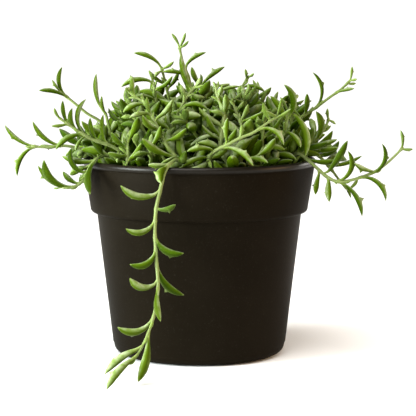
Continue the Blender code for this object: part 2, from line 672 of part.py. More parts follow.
    def grow(self):
        """The stems of the photograph, those at the back, and then the mound between them."""
        owners = {}
        for name, (visible, _) in STEMS.items():
            owners[name] = self.grow_named_stem(name, visible)
        for name, visible in BACK_STEMS.items():
            owners[name] = self.grow_named_stem(name, visible)
        for name, (visible, rows) in STEMS.items():
            self.add_placed_leaves(owners[name], visible, rows)
        for name in BACK_STEMS:
            self.add_grown_leaves(owners[name], BACK_SPACING, BACK_LOWEST)
        mound = []
        for _ in range(3 * MOUND_STEMS):
            if len(mound) == MOUND_STEMS or not self.free_spots:
                break
            owner = self.grow_mound_stem(len(mound) + 1)
            if owner is not None:
                mound.append(owner)
        for owner in mound:
            self.add_grown_leaves(owner, MOUND_SPACING, MOUND_LOWEST)
        return self.stems


# Changes tried on a leaf set by hand: depth in millimetres, curl in degrees, size
NUDGES = [(depth, twist, size) for size in (1.0, 0.88, 0.75) for twist in (0.0, 15.0, -15.0)
          for depth in (0.0, -2.0, 2.0, -4.0, 4.0, -7.0, 7.0, -10.0)]


def mound_height(reach):
    """Height that the tips of the mound's stems come to."""
    return MOUND_HEIGHT - MOUND_FALL * (reach / MOUND_SPREAD) ** MOUND_SHOULDER


def mound_reach(turn):
    """How far the mound spreads: short of the rim in front, over it at the sides and back."""
    return (MOUND_MIDDLE_REACH + MOUND_BACK_REACH * math.sin(turn)
            + MOUND_SIDE_REACH * abs(math.cos(turn)))


def stem_radii(route):
    """A stem's radius at each point, tapering over its last part."""
    share = np.linspace(0.0, 1.0, len(route))
    return STEM_RADIUS - (STEM_RADIUS - STEM_TIP_RADIUS) * share ** 2


def route_direction(route, index):
    low = max(index - 1, 0)
    high = min(index + 1, len(route) - 1)
    return unit(route[high] - route[low])


def nearest_index(route, point):
    return int(np.argmin(np.linalg.norm(route - np.array(point, float), axis=1)))


def clear_scene():
    for item in list(bpy.data.objects):
        bpy.data.objects.remove(item, do_unlink=True)


def new_collection(name):
    collection = bpy.data.collections.new(name)
    bpy.context.scene.collection.children.link(collection)
    return collection


def make_material(name, colour, roughness):
    material = bpy.data.materials.new(name)
    material.use_nodes = True
    shader = material.node_tree.nodes["Principled BSDF"]
    shader.inputs["Base Color"].default_value = (*colour, 1.0)
    shader.inputs["Roughness"].default_value = roughness
    material.diffuse_color = (*colour, 1.0)
    return material


def mesh_object(name, mesh, collection, material=None):
    item = bpy.data.objects.new(name, mesh)
    collection.objects.link(item)
    if material:
        mesh.materials.append(material)
    return item


def turned_object(name, profile, collection, material):
    """A solid turned round the Z axis from a profile of (radius, height) in millimetres."""
    shape = bmesh.new()
    corners = [shape.verts.new((radius * MM, 0.0, height * MM)) for radius, height in profile]
    for start, end in zip(corners, corners[1:]):
        shape.edges.new((start, end))
    mesh = bpy.data.meshes.new(name)
    shape.to_mesh(mesh)
    shape.free()
    item = mesh_object(name, mesh, collection, material)
    screw = item.modifiers.new("Turn", "SCREW")
    screw.steps = POT_STEPS
    screw.render_steps = POT_STEPS
    screw.use_merge_vertices = True
    screw.merge_threshold = 0.00001
    return item


def cutter_of_cylinders(name, places, radius, low, high, sides, collection):
    """One hidden object that holds an upright cylinder at each place."""
    shape = bmesh.new()
    for x, y in places:
        made = bmesh.ops.create_cone(
            shape, cap_ends=True, segments=sides, radius1=radius * MM, radius2=radius * MM,
            depth=(high - low) * MM)
        middle = (x * MM, y * MM, (low + high) / 2 * MM)
        bmesh.ops.translate(shape, verts=made["verts"], vec=middle)
    mesh = bpy.data.meshes.new(name)
    shape.to_mesh(mesh)
    shape.free()
    item = mesh_object(name, mesh, collection)
    item.hide_render = True
    item.display_type = "WIRE"
    return item


def cut(item, cutter):
    boolean = item.modifiers.new("Holes", "BOOLEAN")
    boolean.operation = "DIFFERENCE"
    boolean.solver = "EXACT"
    boolean.object = cutter


def inner_wall():
    """Inside of the pot's wall, as (radius, height), from the floor up to the rim."""
    shoulder = POT_HEIGHT - COLLAR_HEIGHT
    return [
        (BODY_LOW_RADIUS - WALL - FLOOR_INSET, FLOOR),
        (BODY_TOP_RADIUS - WALL, shoulder - WALL),
        (COLLAR_LOW_RADIUS - WALL, shoulder + WALL_BEND),
        (RIM_RADIUS - WALL, POT_HEIGHT - LIP_DROP),
    ]


def outer_wall():
    """Outside of the pot, as (radius, height), from the rim's top down to the foot."""
    shoulder = POT_HEIGHT - COLLAR_HEIGHT
    bead = BEAD_HEIGHT / 2
    line = arc_points((RIM_RADIUS + BEAD_PROUD - bead, POT_HEIGHT - bead), bead, 90, -30, 3)
    line.append((RIM_RADIUS - GROOVE_DEPTH, POT_HEIGHT - BEAD_HEIGHT - GROOVE_HEIGHT))
    line += arc_points((COLLAR_LOW_RADIUS - COLLAR_ROUND, shoulder + COLLAR_ROUND), COLLAR_ROUND,
                       0, -70, 2)
    line.append((BODY_TOP_RADIUS, shoulder - SHOULDER_DROP))
    line.append((BODY_LOW_RADIUS, FOOT_HEIGHT))
    line += arc_points((FOOT_RADIUS, FOOT_HEIGHT), FOOT_HEIGHT, -45, -90, 2)
    return line


def make_pot(collection, cutters, material):
    profile = [(0.0, FLOOR)] + inner_wall() + outer_wall() + [(0.0, 0.0)]
    pot = turned_object("pot", profile, collection, material)
    turns = [2 * math.pi * index / DRAIN_COUNT for index in range(DRAIN_COUNT)]
    places = [(DRAIN_REACH * math.cos(turn), DRAIN_REACH * math.sin(turn)) for turn in turns]
    cut(pot, cutter_of_cylinders("drain_cutter", places, DRAIN_RADIUS, -CUT_PAST,
                                 FLOOR + CUT_PAST, DRAIN_SIDES, cutters))


def soil_radius(height):
    wall = inner_wall()
    return float(np.interp(height, [z for _, z in wall], [r for r, _ in wall])) - SOIL_GAP


def make_soil(collection, cutters, material, spots):
    """The potting mix, crowned on top, with a hole for each stem."""
    bottom = FLOOR + SOIL_GAP
    edge = soil_radius(SOIL_HEIGHT)
    profile = [(0.0, SOIL_HEIGHT + SOIL_CROWN),
               (edge * CROWN_BEND, SOIL_HEIGHT + SOIL_CROWN * CROWN_BEND),
               (edge, SOIL_HEIGHT)]
    profile += [(soil_radius(height), height) for _, height in inner_wall()[-2:0:-1]]
    profile += [(soil_radius(bottom), bottom), (0.0, bottom)]
    soil = turned_object("soil", profile, collection, material)
    radius = (STEM_RADIUS + HOLE_GAP) / math.cos(math.pi / HOLE_SIDES)
    cut(soil, cutter_of_cylinders("stem_hole_cutter", spots, radius, HOLE_BOTTOM,
                                  SOIL_HEIGHT + SOIL_CROWN + CUT_PAST, HOLE_SIDES, cutters))


def unit_leaf(stations):
    """A three-sided cone along Z, one long, cut across at the stations."""
    shape = bmesh.new()
    bmesh.ops.create_cone(shape, cap_ends=True, segments=3, radius1=1.0, radius2=0.0, depth=1.0)
    bmesh.ops.remove_doubles(shape, verts=shape.verts, dist=0.0001)
    bmesh.ops.translate(shape, verts=shape.verts, vec=(0.0, 0.0, 0.5))
    for share in stations:
        everything = list(shape.verts) + list(shape.edges) + list(shape.faces)
        bmesh.ops.bisect_plane(shape, geom=everything, plane_co=(0.0, 0.0, share),
                               plane_no=(0.0, 0.0, 1.0))
    bmesh.ops.triangulate(shape, faces=list(shape.faces))
    return shape


def shape_leaf(leaf):
    """A leaf's mesh: two corners on its hollow side and one, with the fin, on its bulging side."""
    short = leaf.length < SHORT_LEAF
    shape = unit_leaf(SHORT_LEAF_STATIONS if short else LEAF_STATIONS)
    for corner in shape.verts:
        share = corner.co.z
        turn = math.atan2(corner.co.y, corner.co.x)
        edge = round((turn + math.pi / 6) / (2 * math.pi / 3)) % 3
        centre, rise, side = leaf_place(leaf, share)
        reach = float(leaf_half_width(leaf, share)) * CORNER
        back = leaf_back(leaf) * rise[0]
        if share > TIP_SHARE:
            place = centre[0]
        elif edge == 2:
            if not short and abs(share - FIN_SHARE) < SAME_SHARE:
                reach += max(leaf.fins) * math.cos(FIN_TURN)
            place = centre[0] + back * reach
        else:
            way = 1.0 if edge == 0 else -1.0
            place = centre[0] + (way * COS_30 * side - back / 2) * reach
        corner.co = place * MM
    bmesh.ops.recalc_face_normals(shape, faces=list(shape.faces))
    return shape


def make_tube(name, route, collection, material):
    """A four-sided tapering stem with closed ends."""
    kept = thinned(route, STEM_BOW)
    curve = bpy.data.curves.new(name, "CURVE")
    curve.dimensions = "3D"
    curve.bevel_depth = MM
    curve.bevel_resolution = 0
    curve.use_fill_caps = True
    spline = curve.splines.new("POLY")
    spline.points.add(len(kept) - 1)
    for point, place, radius in zip(spline.points, route[kept], stem_radii(route)[kept]):
        point.co = (*(place * MM), 1.0)
        point.radius = radius
    guide = bpy.data.objects.new(name + "_guide", curve)
    collection.objects.link(guide)
    bpy.context.view_layer.update()
    evaluated = guide.evaluated_get(bpy.context.evaluated_depsgraph_get())
    mesh = bpy.data.meshes.new_from_object(evaluated)
    shape = bmesh.new()
    shape.from_mesh(mesh)
    bmesh.ops.remove_doubles(shape, verts=shape.verts, dist=0.00001)
    bmesh.ops.triangulate(shape, faces=list(shape.faces))
    bmesh.ops.recalc_face_normals(shape, faces=list(shape.faces))
    shape.to_mesh(mesh)
    shape.free()
    bpy.data.objects.remove(guide, do_unlink=True)
    mesh.materials.clear()
    return mesh_object(name, mesh, collection, material)


def make_leafy_stem(stem, collection, material):
    """A stem with its leaves joined to it in one body."""
    tube = make_tube("stem_" + stem.name, stem.route, collection, material)
    leaves = new_collection("leaves of " + stem.name)
    for number, leaf in enumerate(stem.leaves):
        shape = shape_leaf(leaf)
        mesh = bpy.data.meshes.new("leaf")
        shape.to_mesh(mesh)
        shape.free()
        mesh_object("leaf_%s_%d" % (stem.name, number), mesh, leaves)
    union = tube.modifiers.new("Join leaves", "BOOLEAN")
    union.operation = "UNION"
    union.solver = "EXACT"
    union.operand_type = "COLLECTION"
    union.collection = leaves
    bpy.context.view_layer.objects.active = tube
    bpy.ops.object.modifier_apply(modifier=union.name)
    for item in list(leaves.objects):
        bpy.data.objects.remove(item, do_unlink=True)
    bpy.data.collections.remove(leaves)


def main():
    clear_scene()
    model = new_collection("potted string of dolphins")
    cutters = new_collection("cutters")
    plastic = make_material("charcoal plastic", (0.028, 0.025, 0.022), 0.6)
    mix = make_material("potting mix", (0.035, 0.021, 0.012), 0.95)
    green = make_material("leaf green", (0.15, 0.3, 0.05), 0.45)
    stems = Plant().grow()
    make_pot(model, cutters, plastic)
    make_soil(model, cutters, mix, [stem.spot for stem in stems])
    for stem in stems:
        make_leafy_stem(stem, model, green)


main()
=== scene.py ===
"""Looks of the potted string of dolphins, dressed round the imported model.

The plant is laid out by the same rules as its solids, so every fine leaf lies where its solid
leaf does. Further leaves and thin stems then fill the mound until it is dense. Lengths are in
millimetres in the layout and in metres in the meshes. +Z is up and -Y is the front.
"""

import math
import random
from dataclasses import dataclass

import bmesh
import bpy
import numpy as np
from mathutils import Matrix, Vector, noise


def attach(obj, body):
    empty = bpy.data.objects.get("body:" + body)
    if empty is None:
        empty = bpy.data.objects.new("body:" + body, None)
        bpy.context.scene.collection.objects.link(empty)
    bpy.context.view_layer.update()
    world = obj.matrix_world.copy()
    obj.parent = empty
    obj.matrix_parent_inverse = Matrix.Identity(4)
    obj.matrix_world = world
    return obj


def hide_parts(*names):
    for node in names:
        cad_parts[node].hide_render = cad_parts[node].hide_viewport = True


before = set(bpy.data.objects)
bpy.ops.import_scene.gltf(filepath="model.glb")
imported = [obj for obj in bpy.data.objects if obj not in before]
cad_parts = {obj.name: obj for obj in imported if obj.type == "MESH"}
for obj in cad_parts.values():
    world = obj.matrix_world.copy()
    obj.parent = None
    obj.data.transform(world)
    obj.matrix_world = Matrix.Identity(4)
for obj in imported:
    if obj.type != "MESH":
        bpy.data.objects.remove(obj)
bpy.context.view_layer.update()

MM = 0.001

# Pot, in millimetres
POT_HEIGHT = 130.0
RIM_RADIUS = 76.7
BEAD_HEIGHT = 4.4
BEAD_PROUD = 0.5
COLLAR_HEIGHT = 35.3
COLLAR_LOW_RADIUS = 71.9
COLLAR_ROUND = 2.4
SHOULDER_DROP = 1.4
BODY_TOP_RADIUS = 67.6
BODY_LOW_RADIUS = 57.4
FOOT_RADIUS = 50.4
FOOT_HEIGHT = 6.8
WALL = 2.0
FLOOR = 2.5
FLOOR_INSET = 0.6
LIP_DROP = 1.0
WALL_BEND = 3.0
DRAIN_COUNT = 6
DRAIN_RADIUS = 5.0
DRAIN_REACH = 36.0

# Potting mix
SOIL_HEIGHT = 117.0
SOIL_CROWN = 1.6
SOIL_GAP = 0.35

# Stems and leaves
UPRIGHT = (107.0, 113.0, 119.5, 124.0)
STEM_RADIUS = 1.2
STEM_TIP_RADIUS = 0.75
STEM_STEP = 1.5
SPAN_POINTS = 12
SPOT_COUNT = 46
SPOT_REACH = 63.0
GOLDEN_TURN = math.pi * (3.0 - math.sqrt(5.0))
SEED = 8

# A leaf's shape: widths and shares are of its length, lengths are in millimetres, and where the
# length drawn for a fin is below zero the leaf has none there
LEAF_WIDTHS = (0.23, 0.32)
YOUNG_LEAF = 16.0
YOUNG_PLUMP = 0.06
GIRTH_LEANS = (0.95, 1.35)
SET_LEAN = 0.3
GIRTH_BLUNT = 0.85
CORNER = 1.05
FIN_TURN = math.radians(30.0)
STALK_RADIUS = 0.8
STALK_SHARE = 0.02
STALK_PART = 0.5
STALK_OVERLAP = 0.4
LEAST_CURL = 0.05
LEAST_SQUARE = 0.05
FIN_SHARE = 0.61
FIN_LENGTHS = (-2.2, 2.2)
FIN_LIMIT = 0.1
SKY_LEAN = 0.3
SHORT_LEAF = 14.0

# Room kept between pieces, in millimetres
NODE_GAP = 0.42
OWN_GAP = 0.25
OWN_FREE_SHARE = 0.3
GROUND_GAP = 0.4
SOIL_CLEARANCE = 1.0
BALL_STEP = 1.4
FIN_BALL = 0.8
FIN_BALL_PROUD = 0.2

# The photograph looks down a little, and sees the stems that stand nearer than SEEN_FRONT
VIEW_SLOPE = 0.113
SEEN_FRONT = -30.0

# Leaves grown by rule, in millimetres and degrees, TURN_JITTER in radians: young leaves stand
# near the stem's tip
LEAF_LENGTHS = (16.0, 24.0)
LEAF_LEANS = (48.0, 78.0)
TURN_JITTER = 0.7
HANGING_PART = 0.35
HANGING_CURLS = (-55.0, -25.0)
RISING_CURLS = (25.0, 65.0)
YOUNG_STRETCH = 15.0
YOUNG_LEAN = 30.0
YOUNG_SHRINK = 0.6
LEAF_TRIES = 14
BACK_SPACING = 10.5
BACK_LOWEST = 126.0
MOUND_SPACING = 9.0
MOUND_LOWEST = 134.0

# The mound: its height falls from the middle to its spread, and MOUND_LEAN is in radians
MOUND_STEMS = 18
MOUND_HEIGHT = 176.0
MOUND_SPREAD = 90.0
MOUND_FALL = 32.0
MOUND_SHOULDER = 3.5
MOUND_MIDDLE_REACH = 80.0
MOUND_BACK_REACH = 14.0
MOUND_SIDE_REACH = 6.0
MOUND_LEAN = 0.5
MOUND_GROWTH = 1.25
MOUND_STRAY = (-5.0, 12.0)
MOUND_DIP = (0.0, 6.0)
MOUND_TRIES = 60
ARCH_HEIGHT = 6.0
RIM_CROSSING = 138.0

# Stems seen in the photograph: points of the visible route, then the leaves, each as its share
# of the route, the offset of its tip from its root, its curl in degrees, anticlockwise from the
# front where the curl is positive, and its greatest width
STEMS = {
    "front": (
        [(-13, -66, 134), (-17, -72, 133), (-21, -77, 128), (-23, -79, 120), (-26, -82, 107),
         (-27, -84, 97), (-27, -86, 89), (-26, -89, 73), (-25, -94, 56), (-28, -99, 39),
         (-32, -104, 28), (-38, -109, 17)],
        [(0.1, (-3, -6, -8), 40, 6.4), (0.22, (-24, -6, 5), -80, 5.8), (0.3, (12, -3, 3), 55, 4.6),
         (0.36, (-18, -6, -4), -100, 4.9), (0.43, (18, -4, -9), 80, 5.8),
         (0.49, (-16, -6, -8), -105, 5.4), (0.56, (17, -3, -20), 65, 5.8),
         (0.63, (-17, -6, 3), -110, 5.8), (0.67, (2, -5, -18), 25, 4.9),
         (0.8, (-22, -5, -5), -105, 5.8), (0.88, (-6, -12, -28), -25, 7.1),
         (0.96, (-22, -6, -15), 40, 5.8), (1.0, (-17, -20, -16), 30, 6.1),
         (0.08, (-13, -4, 0), -35, 4.3)]),
    "left_long": (
        [(-69, -18, 134), (-78, -22, 138), (-90, -26, 140), (-99, -28, 139), (-109, -30, 140)],
        [(0.55, (-17, -4, 16), -55, 4.0), (0.55, (-13, 3, 0), -30, 3.5),
         (0.93, (-19, -2, 14), -50, 3.5), (0.93, (-11, -4, -19), 75, 4.0)]),
    "left_up": (
        [(-57, -2, 142), (-65, -4, 154), (-73, -6, 159), (-80, -8, 165), (-86, -9, 170),
         (-92, -10, 175)],
        [(0.88, (-2, 0, 19), -75, 3.7), (0.85, (-18, -2, 5), 35, 3.9),
         (0.97, (-5, 0, 8), -10, 2.2)]),
    "left_tall": (
        [(-56, -16, 140), (-58, -14, 148), (-60, -13, 155), (-61, -12, 160), (-64, -12, 163)],
        [(1.0, (-3, 0, 23), -35, 3.9), (0.82, (-2, -2, 12), -30, 2.8)]),
    "left_mid": (
        [(-49, -40, 136), (-56, -43, 141), (-64, -46, 144), (-71, -48, 147), (-81, -50, 154),
         (-89, -52, 160)],
        [(0.25, (-2, 2, 19), -40, 3.9), (0.38, (-5, 3, 15), -40, 3.9),
         (0.62, (-6, 4, 16), -85, 4.2), (0.53, (-1, 8, 24), -100, 3.9),
         (0.84, (-3, 0, 15), -30, 3.5), (0.97, (-3, -2, 7), -25, 2.5),
         (0.84, (-10, -5, -1), -10, 2.8), (0.59, (-17, -8, -9), 60, 4.5),
         (0.56, (-6, -8, -9), 30, 2.8)]),
    "left_drop": (
        [(-57, -32, 133), (-63, -38, 134), (-69, -43, 129), (-72, -45, 122), (-76, -47, 117),
         (-81, -49, 115), (-87, -51, 115)],
        [(0.3, (-2, -12, -20), 45, 5.5), (0.53, (-10, 0, 16), -110, 4.5),
         (0.83, (-18, -4, 18), -95, 6.3), (1.0, (-16, 5, 13), -30, 4.2),
         (0.73, (-11, 10, 7), -40, 4.2), (0.42, (-14, 15, -7), 20, 5.9),
         (0.5, (-7, 17, -11), 20, 5.9), (0.35, (-21, 8, 3), -30, 5.2)]),
    "crown": (
        [(-2, -12, 156), (-5, -10, 175), (-7, -8, 184), (-10, -8, 191), (-12, -9, 199),
         (-13, -9, 204)],
        [(1.0, (-5, 0, 8), 10, 2.5), (0.97, (4, -2, 10), 10, 2.5), (0.97, (6, -3, 5), 25, 2.2),
         (0.7, (14, -3, 10), -50, 3.5), (0.4, (-7, -6, 23), -20, 4.9),
         (0.2, (-10, 7, 22), 15, 4.6), (0.58, (-17, -5, 3), 35, 3.7)]),
    "top_mid": (
        [(1, -4, 150), (2, 0, 160), (1, 2, 169), (1, 2, 177)],
        [(1.0, (-6, -2, 13), -25, 4.5), (1.0, (16, -3, 13), -25, 3.9),
         (0.68, (-9, -4, 7), -40, 3.9)]),
    "crown_left": (
        [(-19, 4, 161), (-21, 3, 173), (-23, 2, 182), (-25, 1, 190)],
        [(1.0, (-18, -4, 9), 50, 4.0), (0.95, (8, -4, 5), 30, 2.8), (0.9, (-5, -5, -4), 40, 2.8),
         (0.6, (-11, -2, 9), -30, 3.5), (0.5, (8, 2, 12), 40, 3.5)]),
    "arch_left": (
        [(-25, 0, 148), (-28, -4, 163), (-29, -6, 174), (-30, -7, 180)],
        [(1.0, (-21, -4, -3), 65, 4.6), (1.0, (-3, 0, 8), 10, 2.5), (0.86, (12, -6, 9), 50, 3.7),
         (0.64, (-15, -8, 2), 40, 4.0)]),
    "slope_left": (
        [(-14, -62, 134), (-19, -62, 141), (-24, -60, 150), (-28, -57, 158), (-31, -55, 163),
         (-34, -52, 169), (-41, -50, 173), (-45, -49, 177)],
        [(0.89, (-1, 0, 12), -30, 4.0), (0.97, (-2, 0, 3), 5, 2.2), (0.53, (12, -3, 13), 40, 4.3),
         (0.74, (-14, -5, -5), 50, 4.7), (0.61, (-2, -2, 11), -25, 3.6),
         (0.61, (-13, -8, -2), 35, 4.0), (0.26, (14, -6, 8), 50, 4.7),
         (0.05, (-20, -10, 12), -40, 6.0), (0.05, (-8, -8, -4), -10, 2.8)]),
    "front_left": (
        [(-45, -50, 126), (-45, -55, 133), (-45, -55, 140), (-45, -54, 146), (-44, -53, 151)],
        [(0.78, (7, -4, 15), 25, 6.5), (0.33, (9, -8, 11), 50, 5.8),
         (0.61, (-10, -3, 10), -40, 4.8), (0.44, (-12, -6, 2), -40, 4.4)]),
    "front_mid": (
        [(-30, -58, 128), (-30, -62, 136), (-31, -61, 141), (-30, -60, 146)],
        [(0.54, (-11, -5, -1), 40, 4.1), (0.77, (7, -6, 14), 35, 4.8)]),
    "slope_mid": (
        [(-17, -48, 141), (-18, -46, 153), (-14, -44, 160), (-8, -42, 172), (-3, -40, 178),
         (-1, -40, 180)],
        [(0.5, (19, -4, 2), -110, 4.0), (0.27, (0, -2, 17), -25, 4.7),
         (0.27, (-3, -5, 10), -10, 4.0), (0.93, (6, -2, 2), 10, 2.5),
         (0.77, (-4, -2, 8), -25, 3.6), (0.83, (10, 3, -3), 30, 4.0)]),
    "spire": (
        [(14, -56, 139), (14, -54, 148), (16, -50, 161), (13, -46, 169), (11, -45, 176),
         (11, -45, 181)],
        [(0.2, (-9, -4, 14), -35, 4.5), (0.5, (-8, -4, 3), 40, 3.9), (0.53, (1, -5, 13), 25, 5.2),
         (0.8, (3, 0, 8), 10, 2.8), (0.87, (15, -3, 4), -25, 2.8), (0.97, (9, -3, 1), 10, 2.5),
         (0.23, (-20, -6, -7), 35, 3.9), (0.17, (-12, -10, 10), -30, 2.8)]),
    "slope_up": (
        [(25, -52, 139), (27, -50, 147), (27, -48, 155), (24, -46, 162), (22, -45, 168)],
        [(0.62, (5, -2, 11), 25, 3.9), (0.86, (5, -2, 6), 25, 2.8), (0.62, (14, -4, 6), 30, 3.9)]),
    "slope_right": (
        [(6, -62, 135), (11, -64, 140), (19, -66, 144), (26, -66, 148), (34, -66, 151),
         (44, -65, 158), (49, -64, 161)],
        [(0.14, (-18, -5, 0), 45, 4.5), (0.03, (-18, -6, -7), 35, 4.5),
         (0.0, (2, -6, -6), 10, 2.8), (0.23, (20, -7, -11), -65, 4.5),
         (0.74, (15, -4, -10), -95, 3.9), (0.49, (1, 3, 8), 10, 3.5),
         (0.91, (-5, 2, 11), -30, 3.9), (0.97, (10, -2, 6), 25, 2.8), (1.0, (-7, -4, 4), -10, 2.8),
         (0.31, (0, 0, 17), -25, 4.5), (1.0, (3, 0, 12), 10, 2.5)]),
    "front_right": (
        [(31, -58, 131), (32, -61, 135), (36, -60, 135), (39, -58, 138), (41, -57, 142)],
        [(0.54, (12, -3, 12), 30, 5.5), (0.31, (11, -6, -2), -30, 4.1),
         (0.92, (14, -4, -1), -40, 4.4)]),
    "top_right": (
        [(22, 6, 156), (25, 4, 168), (27, 3, 174), (31, 3, 181), (33, 3, 184)],
        [(0.9, (-1, 0, 7), 5, 2.5), (0.95, (4, 0, 3), 5, 2.2), (0.7, (15, -3, -3), -60, 3.5),
         (0.55, (-13, 2, 5), 40, 3.5)]),
    "right_blade": (
        [(52, -38, 144), (56, -38, 153), (57, -38, 162), (61, -38, 170)],
        [(0.58, (-3, -2, 22), 85, 5.2), (0.47, (-11, -4, 17), 25, 5.2), (1.0, (2, 0, 4), 5, 2.2),
         (0.68, (-5, 4, 10), 5, 2.8), (0.74, (10, -6, -29), -75, 5.8),
         (0.26, (10, -8, -10), -50, 4.5), (0.21, (0, -3, 8), 10, 2.8)]),
    "right_up": (
        [(58, -15, 148), (66, -16, 157), (76, -18, 164), (85, -20, 171), (92, -21, 176),
         (98, -22, 182)],
        [(1.0, (1, 0, 9), 5, 2.5), (1.0, (4, 0, 1), 10, 2.2), (0.94, (6, 0, 0), 10, 2.2),
         (0.78, (11, -3, 3), -10, 2.8), (0.47, (-3, -2, 23), 90, 3.2), (0.3, (1, -5, 14), 10, 4.5),
         (0.25, (-8, 2, 9), -25, 3.6)]),
    "right_stub": (
        [(63, -18, 134), (70, -22, 139), (78, -24, 146), (83, -24, 154), (84, -24, 158)],
        [(0.48, (0, -4, 20), 70, 5.6), (0.96, (-1, 0, 8), -5, 2.5), (0.96, (5, 0, -3), -10, 2.2),
         (0.35, (18, -5, 4), 25, 4.0), (0.26, (20, -6, 1), 30, 4.7)]),
    "right_long": (
        [(58, -28, 134), (65, -34, 135), (73, -40, 129), (82, -42, 121), (89, -43, 118),
         (97, -43, 119), (104, -42, 121), (114, -41, 125), (123, -40, 132), (131, -39, 140)],
        [(0.98, (-1, 0, 12), 35, 2.8), (0.98, (7, -2, 0), 25, 2.5), (0.7, (6, -2, 20), 105, 3.5),
         (0.62, (16, -4, -15), -100, 3.9), (0.47, (14, -4, -22), -60, 4.2),
         (0.35, (14, -3, 23), 10, 5.8), (0.45, (6, -3, 20), 110, 4.2),
         (0.3, (-3, -3, -15), 10, 4.5), (0.38, (0, -3, -15), 10, 5.2),
         (0.17, (19, -2, -1), 30, 4.5), (0.73, (-14, -4, 6), -30, 3.9)]),
    "right_drop": (
        [(62, -2, 133), (69, -3, 135), (78, -5, 132), (86, -8, 124), (92, -12, 116),
         (97, -16, 110)],
        [(0.58, (22, -2, 7), 30, 3.5), (0.85, (7, -5, -11), -40, 2.8), (1.0, (7, 0, 8), 40, 2.8),
         (0.58, (7, -10, 5), 30, 2.8)]),
}

# The share of a route below which other leaves may stand in front of the stem
SEEN_FROM = {"left_tall": 0.8, "top_mid": 0.6, "front_left": 0.8, "front_mid": 0.6,
             "slope_mid": 0.5, "spire": 0.5, "slope_up": 0.6, "front_right": 0.5}

# Stems at the back, which the photograph hides: their routes over the rim and down the wall
BACK_STEMS = {
    "back_left": [(-22, 62, 134), (-25, 72, 136), (-28, 80, 131), (-31, 84, 118), (-31, 86, 100),
                  (-27, 88, 82), (-25, 91, 64), (-26, 95, 47), (-23, 99, 33)],
    "back_right": [(26, 60, 134), (30, 69, 136), (34, 78, 132), (35, 84, 120), (31, 86, 104),
                   (30, 88, 90), (33, 91, 78)],
}


@dataclass
class Leaf:
    """A leaf whose middle line is an arc from its root on a stem."""
    root: np.ndarray
    along: np.ndarray
    out: np.ndarray
    rise: np.ndarray
    length: float
    curl: float
    half_width: float
    lean: float
    fins: tuple


@dataclass
class Stem:
    """A stem's smooth route and its leaves."""
    name: str
    route: np.ndarray
    leaves: list


def unit(vector):
    return vector / np.linalg.norm(vector)


def polar(reach, turn):
    """The point at a distance from the pot's axis, in the direction of a turn."""
    return (reach * math.cos(turn), reach * math.sin(turn))


def across(vector, axis):
    """The part of a vector that is square to an axis, at unit length."""
    square = vector - axis * np.dot(vector, axis)
    if np.linalg.norm(square) < LEAST_SQUARE:
        square = np.cross(axis, (1.0, 0.0, 0.0))
    return unit(square)


def smooth_route(points, step):
    """Points every step along one smooth curve through the given points."""
    points = [np.array(point, float) for point in points]
    knots = [0.0]
    for start, end in zip(points, points[1:]):
        knots.append(knots[-1] + math.sqrt(np.linalg.norm(end - start)))
    slopes = []
    for index in range(len(points)):
        low = max(index - 1, 0)
        high = min(index + 1, len(points) - 1)
        slopes.append((points[high] - points[low]) / (knots[high] - knots[low]))
    fine = []
    for index in range(len(points) - 1):
        span = knots[index + 1] - knots[index]
        for t in np.linspace(0.0, 1.0, SPAN_POINTS, endpoint=False):
            fine.append((2 * t ** 3 - 3 * t ** 2 + 1) * points[index]
                        + (t ** 3 - 2 * t ** 2 + t) * span * slopes[index]
                        + (3 * t ** 2 - 2 * t ** 3) * points[index + 1]
                        + (t ** 3 - t ** 2) * span * slopes[index + 1])
    fine.append(points[-1])
    return spaced(np.array(fine), step)


def spaced(fine, step):
    """The same line with its points at even steps."""
    travelled = np.concatenate([[0.0], np.cumsum(np.linalg.norm(np.diff(fine, axis=0), axis=1))])
    count = max(2, round(travelled[-1] / step) + 1)
    wanted = np.linspace(0.0, travelled[-1], count)
    return np.column_stack([np.interp(wanted, travelled, fine[:, axis]) for axis in range(3)])


def arc_points(centre, radius, start, end, count):
    """Points along an arc in the plane of radius and height, angles in degrees."""
    angles = np.radians(np.linspace(start, end, count))
    return [(centre[0] + radius * math.cos(a), centre[1] + radius * math.sin(a)) for a in angles]


def wall_line():
    """Middle line of the pot's wall, as (radius, height), from the rim down to the foot."""
    half = WALL / 2
    return np.array([
        (RIM_RADIUS - half, POT_HEIGHT - half),
        (COLLAR_LOW_RADIUS - half, POT_HEIGHT - COLLAR_HEIGHT + half),
        (BODY_TOP_RADIUS - half, POT_HEIGHT - COLLAR_HEIGHT - WALL_BEND),
        (BODY_LOW_RADIUS - half, FOOT_HEIGHT),
        (FOOT_RADIUS, half),
    ])


def from_wall(points):
    """Nearest point of the wall's middle line to each point, both as (radius, height)."""
    flat = np.column_stack([np.hypot(points[:, 0], points[:, 1]), points[:, 2]])
    line = wall_line()
    best = np.full(len(flat), np.inf)
    nearest = np.zeros_like(flat)
    for start, end in zip(line, line[1:]):
        span = end - start
        share = np.clip((flat - start) @ span / (span @ span), 0.0, 1.0)
        on_line = start + share[:, None] * span
        away = np.linalg.norm(flat - on_line, axis=1)
        closer = away < best
        best = np.where(closer, away, best)
        nearest[closer] = on_line[closer]
    return flat, nearest, best


def clear_of_wall(route, margin):
    """Pushes a route's points out of the pot's wall, then evens the line."""
    for _ in range(3):
        flat, nearest, away = from_wall(route)
        keep = WALL / 2 + BEAD_PROUD + margin
        for index in np.nonzero(away < keep)[0]:
            push = flat[index] - nearest[index]
            push = push / max(np.linalg.norm(push), 0.001)
            reach, height = nearest[index] + push * keep
            route[index, :2] *= reach / flat[index, 0]
            route[index, 2] = height
        route[1:-1] = (route[:-2] + 2 * route[1:-1] + route[2:]) / 4
    return route


